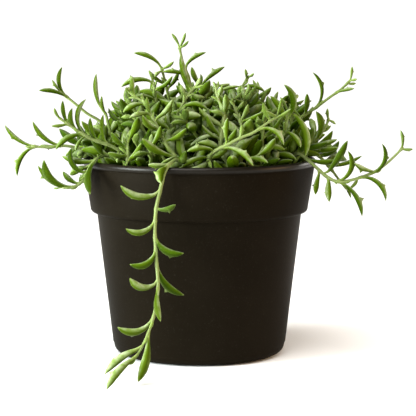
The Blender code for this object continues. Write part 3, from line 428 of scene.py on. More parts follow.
def leaf_half_width(leaf, share):
    """Half a leaf's width at a share of its length: a thin stalk, then a spindle."""
    beyond_stalk = np.clip((share - STALK_SHARE) / (1.0 - STALK_SHARE), 0.0, 1.0)
    girth = np.maximum(np.sin(np.pi * beyond_stalk ** leaf.lean), 0.0) ** GIRTH_BLUNT
    stalk = min(STALK_RADIUS, leaf.half_width * STALK_PART)
    return stalk * (1.0 - share) + (leaf.half_width - stalk * STALK_OVERLAP) * girth


def leaf_place(leaf, share):
    """A leaf's centre and rise at each share of its length, and its side direction."""
    share = np.atleast_1d(share)[:, None]
    turn = leaf.curl * share
    radius = leaf.length / leaf.curl
    centre = leaf.root + radius * (np.sin(turn) * leaf.out + (1.0 - np.cos(turn)) * leaf.rise)
    rise = np.cos(turn) * leaf.rise - np.sin(turn) * leaf.out
    side = np.cross(leaf.out, leaf.rise)
    return centre, rise, side


def slanted(along, turn, lean):
    """The way out from a stem at a turn round it, and the way between that and the stem's own."""
    up = across(np.array((0.0, 0.0, 1.0)), along)
    outward = math.cos(turn) * up + math.sin(turn) * np.cross(along, up)
    return outward, math.cos(lean) * along + math.sin(lean) * outward


def make_leaf(root, along, offset, sky, curl, width, lean, fins):
    """A leaf from its root to its tip, with the side that faces the sky and its curl that way."""
    chord = np.linalg.norm(offset)
    straight = offset / chord
    sky = across(sky, straight)
    half = curl / 2
    out = math.cos(half) * straight - math.sin(half) * sky
    rise = math.sin(half) * straight + math.cos(half) * sky
    length = chord * half / math.sin(half)
    fins = tuple(min(fin, length * FIN_LIMIT) for fin in fins)
    return Leaf(root, along, out, rise, length, curl, width / 2, lean, fins)


def sky_side(along):
    """What a leaf's upper face turns to: the sky, and away from the stem's tip."""
    return np.array((0.0, 0.0, 1.0)) - SKY_LEAN * along


def leaf_back(leaf):
    """The bulging side of a leaf: 1 where its upper face is that side, -1 where its lower is."""
    return -math.copysign(1.0, leaf.curl)


def leaf_balls(leaf):
    """Centres and radii of balls that fill a leaf and its fins."""
    count = max(6, math.ceil(leaf.length / BALL_STEP))
    share = np.linspace(0.0, 1.0, count)
    centre, _, _ = leaf_place(leaf, share)
    radius = leaf_half_width(leaf, share)
    middle, rise, side = leaf_place(leaf, FIN_SHARE)
    reach = float(leaf_half_width(leaf, FIN_SHARE)) * CORNER - FIN_BALL + FIN_BALL_PROUD
    back = leaf_back(leaf) * math.cos(FIN_TURN) * rise[0]
    fins = [middle[0] + (back + way * math.sin(FIN_TURN) * side) * (reach + fin)
            for way, fin in zip((1.0, -1.0), leaf.fins)]
    radius = np.append(radius, (FIN_BALL, FIN_BALL))
    return np.vstack([centre, fins]), radius, np.append(share, (FIN_SHARE, FIN_SHARE))


class Crowd:
    """Balls that stand for everything placed so far, each with the stem that it belongs to."""

    def __init__(self):
        self.centres = np.empty((0, 3))
        self.radii = np.empty(0)
        self.owners = np.empty(0, int)

    def add(self, centres, radii, owner):
        self.centres = np.vstack([self.centres, centres])
        self.radii = np.append(self.radii, radii)
        self.owners = np.append(self.owners, np.full(len(radii), owner))

    def has_room(self, centres, radii, gap, among):
        """True where no ball among the given ones comes nearer than the gap."""
        middle = centres.mean(axis=0)
        reach = np.linalg.norm(centres - middle, axis=1).max() + radii.max() + gap
        apart = np.linalg.norm(self.centres - middle, axis=1)
        close = (apart < reach + self.radii) & among
        if not close.any():
            return True
        spread = np.linalg.norm(self.centres[close][None] - centres[:, None], axis=2)
        return bool((spread > self.radii[close][None] + radii[:, None] + gap).all())


class Plant:
    """Lays out the stems and leaves so that no two of them cross."""

    def __init__(self):
        self.random = random.Random(SEED)
        self.crowd = Crowd()
        self.stems = []
        self.seen = np.empty((0, 3))
        self.free_spots = [self.spot(index) for index in range(SPOT_COUNT)]

    def spot(self, index):
        """Where a stem may stand in the soil: even spots on a disc, like a sunflower's seeds."""
        return polar(SPOT_REACH * math.sqrt((index + 0.5) / SPOT_COUNT), index * GOLDEN_TURN)

    def route_from(self, spot, visible):
        """A stem's whole route, upright in its hole and then through its visible points."""
        upright = [(spot[0], spot[1], height) for height in UPRIGHT]
        route = smooth_route(upright + visible, STEM_STEP)
        in_soil = route[:, 2] < UPRIGHT[2]
        inside = in_soil & (np.hypot(route[:, 0], route[:, 1]) < soil_radius(UPRIGHT[0]))
        above = np.nonzero(~inside)[0][0]
        route[above:] = clear_of_wall(route[above:], STEM_RADIUS + NODE_GAP)
        return route

    def add_stem(self, name, route):
        owner = len(self.stems)
        self.stems.append(Stem(name, route, []))
        self.crowd.add(route, stem_radii(route), owner)
        return owner

    def stem_has_room(self, route):
        everything = np.ones(len(self.crowd.radii), bool)
        return self.crowd.has_room(route, stem_radii(route), NODE_GAP, everything)

    def grow_named_stem(self, name, visible):
        """Starts a stem at the nearest free spot from which it meets nothing."""
        first = np.array(visible[0][:2], float)
        for spot in sorted(self.free_spots, key=lambda spot: np.linalg.norm(first - spot)):
            route = self.route_from(spot, visible)
            if self.stem_has_room(route):
                self.free_spots.remove(spot)
                return self.add_stem(name, route)
        raise ValueError("no clear way for stem " + name)

    def leaf_has_room(self, leaf, owner, gap):
        centres, radii, share = leaf_balls(leaf)
        own = self.crowd.owners == owner
        if (centres[:, 2] - radii < GROUND_GAP).any():
            return False
        if not self.clear_of_pot(centres, radii):
            return False
        if not self.crowd.has_room(centres, radii, gap, ~own):
            return False
        free = share > OWN_FREE_SHARE
        return self.crowd.has_room(centres[free], radii[free], OWN_GAP, own)

    def clear_of_pot(self, centres, radii):
        """True where no ball is in the pot's wall or below the top of the soil."""
        flat, _, away = from_wall(centres)
        if (away < radii + WALL / 2 + BEAD_PROUD + NODE_GAP).any():
            return False
        in_pot = flat[:, 0] < RIM_RADIUS - WALL
        lowest = SOIL_HEIGHT + SOIL_CROWN + SOIL_CLEARANCE
        return not (in_pot & (centres[:, 2] - radii < lowest)).any()

    def hides_seen(self, centres, radii):
        """True where a leaf, seen from the front, covers part of a stem in the photograph."""
        seen = self.seen[self.seen[:, 1] < SEEN_FRONT]
        away = seen[None] - centres[:, None]
        apart = np.hypot(away[..., 0], away[..., 2] + VIEW_SLOPE * away[..., 1])
        return bool(((apart < radii[:, None]) & (away[..., 1] > 0.0)).any())

    def add_leaf(self, leaf, owner):
        centres, radii, _ = leaf_balls(leaf)
        self.crowd.add(centres, radii, owner)
        self.stems[owner].leaves.append(leaf)

    def form(self):
        """Where a leaf is widest, and the lengths of its fins, 0 where it lacks one."""
        draw = self.random
        fins = (max(0.0, draw.uniform(*FIN_LENGTHS)), max(0.0, draw.uniform(*FIN_LENGTHS)))
        return draw.uniform(*GIRTH_LEANS), fins

    def add_placed_leaves(self, owner, visible, rows):
        """Leaves given one by one, each nudged in depth, curl and size until it is clear."""
        route = self.stems[owner].route
        start = nearest_index(route, visible[0])
        steps = len(route) - 1 - start
        first_seen = start + round(SEEN_FROM.get(self.stems[owner].name, 0.0) * steps)
        self.seen = np.vstack([self.seen, route[first_seen:]])
        for share, offset, curl, width in rows:
            index = start + round(share * steps)
            along = route_direction(route, index)
            left = np.array((-offset[2], 0.0, offset[0]))
            way = math.copysign(1.0, left @ sky_side(along))
            lean, fins = self.form()
            lean += SET_LEAN
            for depth, twist, size in NUDGES:
                tip = np.array(offset, float) * size + np.array((0.0, depth, 0.0))
                bend = way * math.radians(curl + twist) or LEAST_CURL
                leaf = make_leaf(route[index], along, tip, left * way, bend, width * size, lean,
                                 fins)
                if self.leaf_has_room(leaf, owner, NODE_GAP):
                    self.add_leaf(leaf, owner)
                    self.seen = np.vstack([self.seen, leaf_balls(leaf)[0]])
                    break

    def add_grown_leaves(self, owner, spacing, lowest):
        """Leaves in a spiral up the stem, smaller and steeper towards its tip."""
        route = self.stems[owner].route
        above = np.nonzero(route[:, 2] > lowest)[0]
        steps = max(1, round(spacing / STEM_STEP))
        for index, turn, youth in self.spiral(route, range(int(above[0]), len(route), steps)):
            for _ in range(LEAF_TRIES):
                leaf = self.spiral_leaf(route, index, turn, youth)
                if not self.leaf_has_room(leaf, owner, NODE_GAP):
                    continue
                if not self.hides_seen(*leaf_balls(leaf)[:2]):
                    self.add_leaf(leaf, owner)
                    break

    def spiral(self, route, places):
        """Each place up a stem with the turn of its leaf and, from 0 to 1, how young that is."""
        turn = self.random.uniform(0.0, 2 * math.pi)
        for index in places:
            turn += GOLDEN_TURN
            left = (len(route) - 1 - index) * STEM_STEP
            yield index, turn, max(0.0, 1.0 - left / YOUNG_STRETCH)

    def spiral_leaf(self, route, index, turn, youth):
        """A leaf to try at a point of a stem, turned round it by about the given angle."""
        draw = self.random
        along = route_direction(route, index)
        turn += draw.uniform(-TURN_JITTER, TURN_JITTER)
        lean = math.radians(draw.uniform(*LEAF_LEANS) - YOUNG_LEAN * youth)
        _, way = slanted(along, turn, lean)
        length = draw.uniform(*LEAF_LENGTHS) * (1.0 - YOUNG_SHRINK * youth)
        curls = HANGING_CURLS if draw.random() < HANGING_PART else RISING_CURLS
        curl = math.radians(draw.uniform(*curls))
        plump = draw.uniform(*LEAF_WIDTHS) + YOUNG_PLUMP * max(0.0, 1.0 - length / YOUNG_LEAF)
        return make_leaf(route[index], along, way * length, sky_side(along), curl, length * plump,
                         *self.form())

    def way_up(self, reach, spot_turn, foot, lean, stray, dip):
        """Middle and end of a stem that arches from its foot up towards the mound's surface."""
        draw = self.random
        turn = spot_turn + draw.uniform(-lean, lean)
        end_reach = min(reach * MOUND_GROWTH + draw.uniform(*stray), mound_reach(turn))
        end_height = mound_height(abs(end_reach)) - draw.uniform(*dip)
        middle_height = (foot + end_height) / 2 + ARCH_HEIGHT
        if end_reach > SPOT_REACH:
            middle_height = max(middle_height, RIM_CROSSING)
        middle = polar((reach + end_reach) / 2, (spot_turn + turn) / 2)
        return [(*middle, middle_height), (*polar(end_reach, turn), end_height)]

    def grow_mound_stem(self, number):
        """A stem of the mound, which moves on to another spot where it finds no way."""
        spot = self.free_spots[0]
        for _ in range(MOUND_TRIES):
            way = self.way_up(math.hypot(*spot), math.atan2(spot[1], spot[0]), UPRIGHT[-1],
                              MOUND_LEAN, MOUND_STRAY, MOUND_DIP)
            route = self.route_from(spot, way)
            if self.stem_has_room(route):
                self.free_spots.pop(0)
                return self.add_stem("mound_%02d" % number, route)
        self.free_spots.append(self.free_spots.pop(0))
        return None

    def grow(self):
        """The stems of the photograph, those at the back, and then the mound between them."""
        owners = {}
        for name, (visible, _) in STEMS.items():
            owners[name] = self.grow_named_stem(name, visible)
        for name, visible in BACK_STEMS.items():
            owners[name] = self.grow_named_stem(name, visible)
        for name, (visible, rows) in STEMS.items():
            self.add_placed_leaves(owners[name], visible, rows)
        for name in BACK_STEMS:
            self.add_grown_leaves(owners[name], BACK_SPACING, BACK_LOWEST)
        mound = []
        for _ in range(3 * MOUND_STEMS):
            if len(mound) == MOUND_STEMS or not self.free_spots:
                break
            owner = self.grow_mound_stem(len(mound) + 1)
            if owner is not None:
                mound.append(owner)
        for owner in mound:
            self.add_grown_leaves(owner, MOUND_SPACING, MOUND_LOWEST)
        return self.stems


# Changes tried on a listed leaf: depth in millimetres, curl in degrees, size
NUDGES = [(depth, twist, size) for size in (1.0, 0.88, 0.75) for twist in (0.0, 15.0, -15.0)
          for depth in (0.0, -2.0, 2.0, -4.0, 4.0, -7.0, 7.0, -10.0)]


def mound_height(reach):
    """Height that the tips of the mound's stems come to."""
    return MOUND_HEIGHT - MOUND_FALL * (reach / MOUND_SPREAD) ** MOUND_SHOULDER


def mound_reach(turn):
    """How far the mound spreads: short of the rim in front, over it at the sides and back."""
    return (MOUND_MIDDLE_REACH + MOUND_BACK_REACH * math.sin(turn)
            + MOUND_SIDE_REACH * abs(math.cos(turn)))


def stem_radii(route):
    """A stem's radius at each point, tapering over its last part."""
    share = np.linspace(0.0, 1.0, len(route))
    return STEM_RADIUS - (STEM_RADIUS - STEM_TIP_RADIUS) * share ** 2


def route_direction(route, index):
    low = max(index - 1, 0)
    high = min(index + 1, len(route) - 1)
    return unit(route[high] - route[low])


def nearest_index(route, point):
    return int(np.argmin(np.linalg.norm(route - np.array(point, float), axis=1)))


def inner_wall():
    """Inside of the pot's wall, as (radius, height), from the floor up to the rim."""
    shoulder = POT_HEIGHT - COLLAR_HEIGHT
    return [
        (BODY_LOW_RADIUS - WALL - FLOOR_INSET, FLOOR),
        (BODY_TOP_RADIUS - WALL, shoulder - WALL),
        (COLLAR_LOW_RADIUS - WALL, shoulder + WALL_BEND),
        (RIM_RADIUS - WALL, POT_HEIGHT - LIP_DROP),
    ]


def soil_radius(height):
    wall = inner_wall()
    return float(np.interp(height, [z for _, z in wall], [r for r, _ in wall])) - SOIL_GAP


# Filling the mound, in millimetres: leaves may press each other by GIVE and top its surface by
# OVERTOP, and in front none hangs outside the rim below OVERHANG. A thin stem stands upright
# between the FILL_UPRIGHT heights, from the soil's top, and leans by FILL_LEAN radians at most. A
# listed stem is filled up to half way between its top over the pot and FILL_MIDDLE
FILL_SEED = 21
GIVE = 0.7
OVERTOP = 8.0
OVERREACH = 12.0
FILL_LOWEST = 121.0
FILL_SPACING = 3.0
FILL_STEMS = 72
FILL_REACH = 68.0
FILL_TURN = 1.1
FILL_STEM_RADIUS = 1.0
FILL_TRIES = 16
FILL_PLUMP = 1.22
FILL_UPRIGHT = (-2.0, 5.0)
FILL_LEAN = 1.0
FILL_STRAY = (-15.0, 20.0)
FILL_DIP = (0.0, 25.0)
FILL_MIDDLE = 140.0
OVERHANG = 126.0

# Fine leaves: rings along the leaf and points round it, shares of its length or of its width,
# ROOT_RUN, BABY_LEAF and BABY_GROWTH in millimetres and LEAF_ROLL in radians
LEAF_RINGS = (0.0, 0.03, 0.07, 0.13, 0.21, 0.30, 0.39, 0.48, 0.55, 0.59, 0.625, 0.66, 0.72, 0.79,
              0.86, 0.92, 0.965, 0.99)
LEAF_SIDES = 12
LEAF_DEPTH = 0.92
HOLLOW = 0.3
FIN_PEAK = 0.625
FIN_BASE = 0.05
FIN_SLANT = 1.5
FIN_POINTED = 1.2
FIN_REACH = 1.2
RIDGE_PALE = 0.35
ROOT_RUN = 2.4
ROOT_SHARE = 0.16
LEAF_ROLL = 0.4
LEAF_SWAY = 0.035
BABY_LEAF = 6.0
BABY_GROWTH = 9.0
BABY_LEAN = 1.15

# Buds in the angles of leaves, and small leaves along the tips of LEAFY_TIPS
BUD_SHARE = 0.55
BUD_LENGTHS = (3.0, 6.5)
BUD_WIDTH = 0.36
BUD_CURL = 0.6
BUD_STRAY = 0.35
BUD_OUTWARD = (0.2, 0.8)
BUD_ALONG = (0.8, 2.0)
YOUNG_SPACING = 4.5
YOUNG_FROM = 0.5
YOUNG_LENGTHS = (4.0, 9.0)
YOUNG_LEANS = (22.0, 50.0)
YOUNG_CURLS = (10.0, 35.0)
YOUNG_WIDTH = 0.34
LEAFY_TIPS = ("spire", "slope_up", "slope_mid", "slope_left", "front_left", "front_mid")

# How pale leaves are, from 0 to 1: a range for each group of stems, PALEST at most, and for some
# stems how much paler the leaves that turn left are. Within a range the tone differs at random;
# the pale range of the front stems is partly painted light and the dark range of the mound's and
# filling stems partly painted shade, and the paler leaves that turn left, towards the lamps, are
# painted light
PALE_STEMS = ("slope_left", "slope_mid", "spire", "slope_up", "slope_right")
PALE_TONES = (0.5, 1.0)
MIDDLE_TONES = (0.2, 0.75)
DARK_TONES = (0.0, 0.4)
TURNED_LIGHT_TONES = {"front": 0.7, "right_long": 0.2, "right_drop": 0.2}
PALEST = 0.85

# Fine stems
STEM_SIDES = 8
STEM_END = 0.5
NODE_SWELL = 0.25
NODE_LENGTH = 1.4

# Fine pot, in millimetres: points of its groove are (how far in from the rim, how far below the
# bead), and FOOT_RING is how far in from the foot the ring that it stands on lies and ends
LATHE_STEPS = 160
LIP_ROUND = 0.6
LIP_INSIDE = 1.2
GROOVE = ((1.0, 0.3), (0.95, 1.0), (0.6, 1.9))
UNDERCUT = 0.5
UNDERCUT_DROP = 0.3
FOOT_BLEND = 0.12
FOOT_BLEND_RISE = 1.4
FOOT_RING = (2.0, 3.0)
BASE_RISE = 0.35
DRILL_SIDES = 32
DRILL_LENGTH = 9.0
DRILL_MIDDLE = 1.5
POT_CREASE = 32.0

# Fine soil: lumps and crumbs as scale and then form, calmer towards its edge
SOIL_RINGS = 44
SOIL_TURNS = 132
SOIL_ROUGH = 1.1
LUMPS = (0.11, (1.0, 2.0, 3))
CRUMBS = (0.45, (0.8, 2.1, 4))
CRUMB_SHARE = 0.6
EDGE_SLOPE = 12.0
EDGE_ROUGH = 0.35
SOIL_CREASE = 50.0

# Bits that lie on the soil: sizes in millimetres, widths as shares of a length that is
# CHIP_WIDEST at most, and tones from 0 to 1, dark to pale
CHIP_COUNT = 900
CHIP_INSET = 4.0
CRUMB_PART = 0.7
CRUMB_LENGTHS = (0.7, 1.3)
BARK_LENGTHS = (1.4, 2.8)
CHIP_WIDTHS = (0.5, 1.0)
CHIP_WIDEST = 1.4
CHIP_HEIGHTS = (0.3, 0.7)
CHIP_RISE = 0.3
CHIP_TILT = 0.4
CHIP_JAG = 0.3
DARK_PART = 0.75
DARK_CHIPS = (0.0, 0.35)
PALE_CHIPS = (0.5, 1.0)

# Colours, as linear red, green and blue; pairs run from a dark leaf or stem to a pale one
LEAF_BODY = ((0.036, 0.079, 0.0003), (0.122, 0.192, 0.009))
# The under colours are painted shade: a leaf's lower face is darker than its top
LEAF_SHADED_UNDER = ((0.014, 0.034, 0.0001), (0.05, 0.085, 0.001))
# The grey-green laid on the tops of pale leaves is partly their waxy coat and partly a painted
# highlight
LEAF_BLOOM_AND_SHEEN = (0.355, 0.415, 0.25)
LEAF_MARGIN = (0.32, 0.39, 0.13)
LEAF_STALK = (0.26, 0.33, 0.08)
LEAF_POINT = (0.32, 0.39, 0.14)
LEAF_YOUNG = (0.25, 0.34, 0.09)
STEM_FRESH = ((0.085, 0.13, 0.01), (0.23, 0.28, 0.105))
STEM_OLD = (0.12, 0.13, 0.03)
STEM_MOTTLE = (0.13, 0.21, 0.02)
PLASTIC = ((0.0061, 0.0046, 0.0026), (0.0085, 0.0065, 0.0039))
SCUFFS = (0.03, 0.027, 0.021)
PEAT = ((0.012, 0.007, 0.004), (0.05, 0.03, 0.017))
BARK = (0.1, 0.06, 0.032)
FLOOR_WHITE = (0.95, 0.95, 0.945)
SURROUND_WHITE = (1.0, 0.995, 0.985)

# Looks: a run is (from, to) of a value and then what it becomes at each, else 0 and 1, and a
# grain is its noise, then the strength and the depth in metres of the bumps that this makes
LEAF_MOTTLE = (260.0,)
# UPPER_RUN: where the painted shade of a leaf's lower face gives way to the colour of its top
UPPER_RUN = (0.25, 0.75)
# Where the tops turn grey-green: partly the waxy coat, partly a painted highlight
BLOOM_AND_SHEEN_STARTS = (0.6, 1.0, 0.7, 0.05)
BLOOM_AND_SHEEN_MOTTLE = (0.38, 0.62, 0.25, 1.0)
BLOOM_AND_SHEEN_TONES = (0.0, 0.9, 0.45, 1.0)
MARGIN_PALE = 0.35
STALK_RUN = (0.03, 0.2, 1.0, 0.0)
STALK_PALE = 0.6
POINT_RUN = (0.93, 1.0)
POINT_PALE = 0.4
YOUTH_PALE = 0.5
LEAF_ROUGHNESS = (0.3, 0.7, 0.36, 0.5)
LEAF_GRAIN = ((1400.0, 2.0), 0.12, 0.0004)
STEM_NOISE = (420.0,)
OLD_RUN = (0.0, 0.3, 0.7, 0.0)
STEM_MOTTLE_RUN = (0.4, 0.7, 0.0, 0.3)
STEM_GRAIN = ((1100.0, 2.0), 0.2, 0.0004)
PLASTIC_CLOUD = (14.0, 4.0)
CLOUD_RUN = (0.35, 0.65)
PLASTIC_SPECK = (900.0, 2.0)
SCUFF_RUN = (0.62, 0.8, 0.0, 0.4)
BEAD_ROUGHNESS = (0.0, 1.0, 0.48, 0.3)
BEAD_SPECULAR = (0.0, 1.0, 0.01, 0.18)
PLASTIC_GRAIN = ((1900.0, 3.0), 0.25, 0.0003)
PEAT_NOISE = (380.0, 6.0, 0.65)
PEAT_RUN = (0.35, 0.68)
CHIP_PALE = 0.8
PEAT_ROUGHNESS = (0.3, 0.7, 0.75, 0.95)
PEAT_GRAIN = ((1300.0, 5.0), 0.8, 0.0008)

# Camera, floor and lights, in metres and degrees, with the lens and sensor in millimetres, and
# each light's name, kind, place, target, power and what else it takes
CAMERA_PLACE = (0.0058, -1.235, 0.2355)
CAMERA_PITCH = 90.0 - 6.43
CAMERA_LENS = 162.0
CAMERA_SENSOR = 36.0
CAMERA_FAR = 1000.0
FLOOR_SPREAD = 300.0
FLOOR_DROP = 0.0002
SURROUND_STRENGTH = 0.32
MIDDLE = (0.0, 0.0, 0.12)
SOFTBOX = {"shape": "RECTANGLE", "size": 0.5, "size_y": 0.7}
LIGHTS = (
    ("window", "SUN", (-0.5, -1.05, 2.1), MIDDLE, 3.25,
     {"angle": math.radians(50.0), "color": (1.0, 0.98, 0.95)}),
    ("left_softbox", "AREA", (-0.95, -0.45, 0.25), MIDDLE, 36.0,
     {"color": (0.88, 0.96, 0.94), **SOFTBOX}),
    ("right_fill", "AREA", (1.1, -0.2, 0.3), MIDDLE, 6.5,
     {"color": (1.0, 0.6, 0.25), **SOFTBOX}),
    ("floor_light", "AREA", (0.42, 0.28, 0.22), (0.16, 0.12, 0.0), 1.1,
     {"shape": "DISK", "size": 0.3, "color": (1.0, 0.95, 0.88)}),
)


class FullPlant(Plant):
    """The laid-out plant, with the leaves and stems that only the fine model has."""

    def fits(self, leaf, owner):
        """True where a leaf presses little, stays in the mound and hides no collar or seen stem."""
        centres, radii, share = leaf_balls(leaf)
        tip_and_fins = centres[-3:]
        reach = np.hypot(tip_and_fins[:, 0], tip_and_fins[:, 1]).max()
        turn = math.atan2(tip_and_fins[0, 1], tip_and_fins[0, 0])
        if reach > mound_reach(turn) + OVERREACH:
            return False
        if centres[:, 2].max() > mound_height(min(reach, MOUND_SPREAD)) + OVERTOP:
            return False
        in_front = (centres[:, 1] < 0.0) & (np.hypot(centres[:, 0], centres[:, 1]) > RIM_RADIUS)
        if (in_front & (centres[:, 2] < OVERHANG)).any():
            return False
        if not self.clear_of_pot(centres, radii):
            return False
        own = self.crowd.owners == owner
        if not self.crowd.has_room(centres, radii, -GIVE, ~own):
            return False
        free = share > OWN_FREE_SHARE
        if not self.crowd.has_room(centres[free], radii[free], -GIVE, own):
            return False
        return not self.hides_seen(centres, radii)

    def add_filling_leaves(self, owner, highest):
        """More leaves up a stem, wherever the mound still has room for them."""
        route = self.stems[owner].route
        steps = round(FILL_SPACING / STEM_STEP)
        chosen = np.nonzero((route[:, 2] > FILL_LOWEST) & (route[:, 2] < highest))[0]
        for index, turn, youth in self.spiral(route, chosen[::steps].tolist()):
            for _ in range(FILL_TRIES):
                leaf = self.spiral_leaf(route, index, turn, youth)
                leaf.half_width *= FILL_PLUMP
                if self.fits(leaf, owner):
                    self.add_leaf(leaf, owner)
                    break

    def grow_filling_stem(self, number):
        """A thin stem from the soil between the others, up to the mound's surface."""
        reach = FILL_REACH * math.sqrt((number + 0.5) / FILL_STEMS)
        turn = number * GOLDEN_TURN + FILL_TURN
        upright = [(*polar(reach, turn), SOIL_HEIGHT + height) for height in FILL_UPRIGHT]
        everyone = np.ones(len(self.crowd.radii), bool)
        for _ in range(MOUND_TRIES):
            way = self.way_up(reach, turn, SOIL_HEIGHT, FILL_LEAN, FILL_STRAY, FILL_DIP)
            route = smooth_route(upright + way, STEM_STEP)
            radii = np.full(len(route), FILL_STEM_RADIUS)
            if self.crowd.has_room(route, radii, -GIVE, everyone):
                return self.add_stem("fill_%02d" % (number + 1), route)
        return None

    def fill(self):
        """Fills the mound between the stems that have solids."""
        self.random = random.Random(FILL_SEED)
        for owner, stem in enumerate(self.stems):
            highest = math.inf
            if not stem.name.startswith("mound"):
                inside = np.hypot(stem.route[:, 0], stem.route[:, 1]) < SPOT_REACH
                highest = (stem.route[inside, 2].max() + FILL_MIDDLE) / 2
            self.add_filling_leaves(owner, highest)
        added = [self.grow_filling_stem(number) for number in range(FILL_STEMS)]
        for owner in added:
            if owner is not None:
                self.add_filling_leaves(owner, math.inf)


def add_object(name, data):
    """A new object of the scene with the given mesh, light or camera."""
    item = bpy.data.objects.new(name, data)
    bpy.context.scene.collection.objects.link(item)
    return item


def mesh_from(shape, name):
    """A mesh with a shape's faces, and the shape let go."""
    mesh = bpy.data.meshes.new(name)
    shape.to_mesh(mesh)
    shape.free()
    return mesh


class Parts:
    """Closed lofts gathered into one mesh, with a value of each kind at every point."""

    KINDS = ("share", "upper", "margin", "tone", "youth")

    def __init__(self):
        self.points = []
        self.faces = []
        self.materials = []
        self.values = {kind: [] for kind in self.KINDS}

    def add_loft(self, rings, material, **values):
        """A tube through rings of equally many points, closed by a fan at either end."""
        count, sides, _ = rings.shape
        first = sum(len(block) for block in self.points)
        ends = np.array([rings[0].mean(axis=0), rings[-1].mean(axis=0)])
        self.points.append(np.vstack([rings.reshape(-1, 3), ends]))
        made = []
        for ring in range(count - 1):
            for side in range(sides):
                near = first + ring * sides + side
                beside = first + ring * sides + (side + 1) % sides
                made.append((near, beside, beside + sides, near + sides))
        last = first + (count - 1) * sides
        for side in range(sides):
            beside = (side + 1) % sides
            made.append((first + beside, first + side, first + count * sides))
            made.append((last + side, last + beside, first + count * sides + 1))
        self.faces += made
        self.materials += [material] * len(made)
        for kind in self.KINDS:
            value = np.broadcast_to(np.asarray(values.get(kind, 0.0), float), (count, sides))
            self.values[kind].append(np.concatenate([value.ravel(), [value[0].mean(),
                                                                     value[-1].mean()]]))

    def make(self, name, materials):
        mesh = bpy.data.meshes.new(name)
        mesh.from_pydata((np.vstack(self.points) * MM).tolist(), [], self.faces)
        for material in materials:
            mesh.materials.append(material)
        mesh.polygons.foreach_set("material_index", self.materials)
        for kind in self.KINDS:
            layer = mesh.attributes.new(kind, "FLOAT", "POINT")
            layer.data.foreach_set("value", np.concatenate(self.values[kind]).astype(np.float32))
        mesh.shade_smooth()
        return add_object(name, mesh)


def fin_bump(share):
    """How far out a fin stands at each share of the leaf, 1 at its point, which leans forward."""
    away = (share - FIN_PEAK) / FIN_BASE
    away = np.where(away < 0.0, away / FIN_SLANT, away)
    return np.clip(1.0 - np.abs(away), 0.0, 1.0) ** FIN_POINTED


def add_fine_leaf(parts, leaf, tones, draw, turned=0.0):
    """One plump leaf: rounded, a little hollow on its inner side, with two fins on the outer."""
    share = np.array(LEAF_RINGS)
    centre, rise, side = leaf_place(leaf, share)
    half = leaf_half_width(leaf, share)[:, None]
    angle = np.arange(LEAF_SIDES) * 2 * math.pi / LEAF_SIDES
    wide, high = np.cos(angle)[None], np.sin(angle)[None]
    back = leaf_back(leaf)
    inner = np.clip(-high * back, 0.0, 1.0)
    outer = np.clip(high * back, 0.0, 1.0)
    bump = fin_bump(share)[:, None]
    fin = np.zeros((1, LEAF_SIDES))
    for way, length in zip((1.0, -1.0), leaf.fins):
        towards = math.atan2(math.cos(FIN_TURN) * back, way * math.sin(FIN_TURN))
        fin[0, round(towards / (2 * math.pi / LEAF_SIDES)) % LEAF_SIDES] = length * FIN_REACH
    spike = bump * fin
    middle_part = np.clip(np.sin(math.pi * share), 0.0, 1.0)[:, None]
    flat = 1.0 - HOLLOW * inner ** 3 * middle_part
    across_leaf = half * wide + spike * wide
    up_leaf = half * LEAF_DEPTH * high * flat + spike * high
    roll = draw.uniform(-LEAF_ROLL, LEAF_ROLL) * share
    sway = draw.uniform(-LEAF_SWAY, LEAF_SWAY) * leaf.length * share ** 2
    side = np.broadcast_to(side, rise.shape)
    cos, sin = np.cos(roll)[:, None], np.sin(roll)[:, None]
    rolled_side = side * cos - rise * sin
    rolled_rise = rise * cos + side * sin
    run = ROOT_RUN * np.clip(1.0 - share / ROOT_SHARE, 0.0, 1.0) ** 2
    centre = centre + side * sway[:, None] - leaf.along * run[:, None]
    rings = (centre[:, None] + rolled_side[:, None] * across_leaf[..., None]
             + rolled_rise[:, None] * up_leaf[..., None])
    youth = float(np.clip(1.0 - (leaf.length - BABY_LEAF) / BABY_GROWTH, 0.0, 1.0))
    # upper is 1 on the face towards the sky and 0 below: the material paints shade on the lower
    # face and a highlight on the top from it
    parts.add_loft(rings, 0, share=share[:, None], upper=(high + 1.0) / 2, youth=youth,
                   margin=np.clip(spike / FIN_REACH + RIDGE_PALE * outer ** 4 * middle_part,
                                  0.0, 1.0),
                   tone=float(np.clip(draw.uniform(*tones) - turned * leaf.out[0], 0.0, PALEST)))


def young_leaves(stem, draw):
    """Small leaves close along the last part of a stem, in a spiral between its large ones."""
    route = stem.route
    turn = draw.uniform(0.0, 2 * math.pi)
    steps = round(YOUNG_SPACING / STEM_STEP)
    made = []
    for index in range(round(len(route) * YOUNG_FROM), len(route) - 1, steps):
        turn += GOLDEN_TURN
        along = route_direction(route, index)
        outward, way = slanted(along, turn, math.radians(draw.uniform(*YOUNG_LEANS)))
        length = draw.uniform(*YOUNG_LENGTHS)
        curl = math.radians(draw.uniform(*YOUNG_CURLS))
        made.append(make_leaf(route[index], along, way * length, outward, curl,
                              length * YOUNG_WIDTH, BABY_LEAN, (0.0, 0.0)))
    return made


def axil_bud(leaf, draw):
    """A young leaf in the angle between a leaf and its stem."""
    stray = np.array([draw.uniform(-BUD_STRAY, BUD_STRAY) for _ in range(3)])
    way = unit(leaf.along + draw.uniform(*BUD_OUTWARD) * leaf.out + stray)
    length = draw.uniform(*BUD_LENGTHS)
    root = leaf.root + leaf.along * draw.uniform(*BUD_ALONG)
    return make_leaf(root, leaf.along, way * length, leaf.rise, BUD_CURL, length * BUD_WIDTH,
                     BABY_LEAN, (0.0, 0.0))


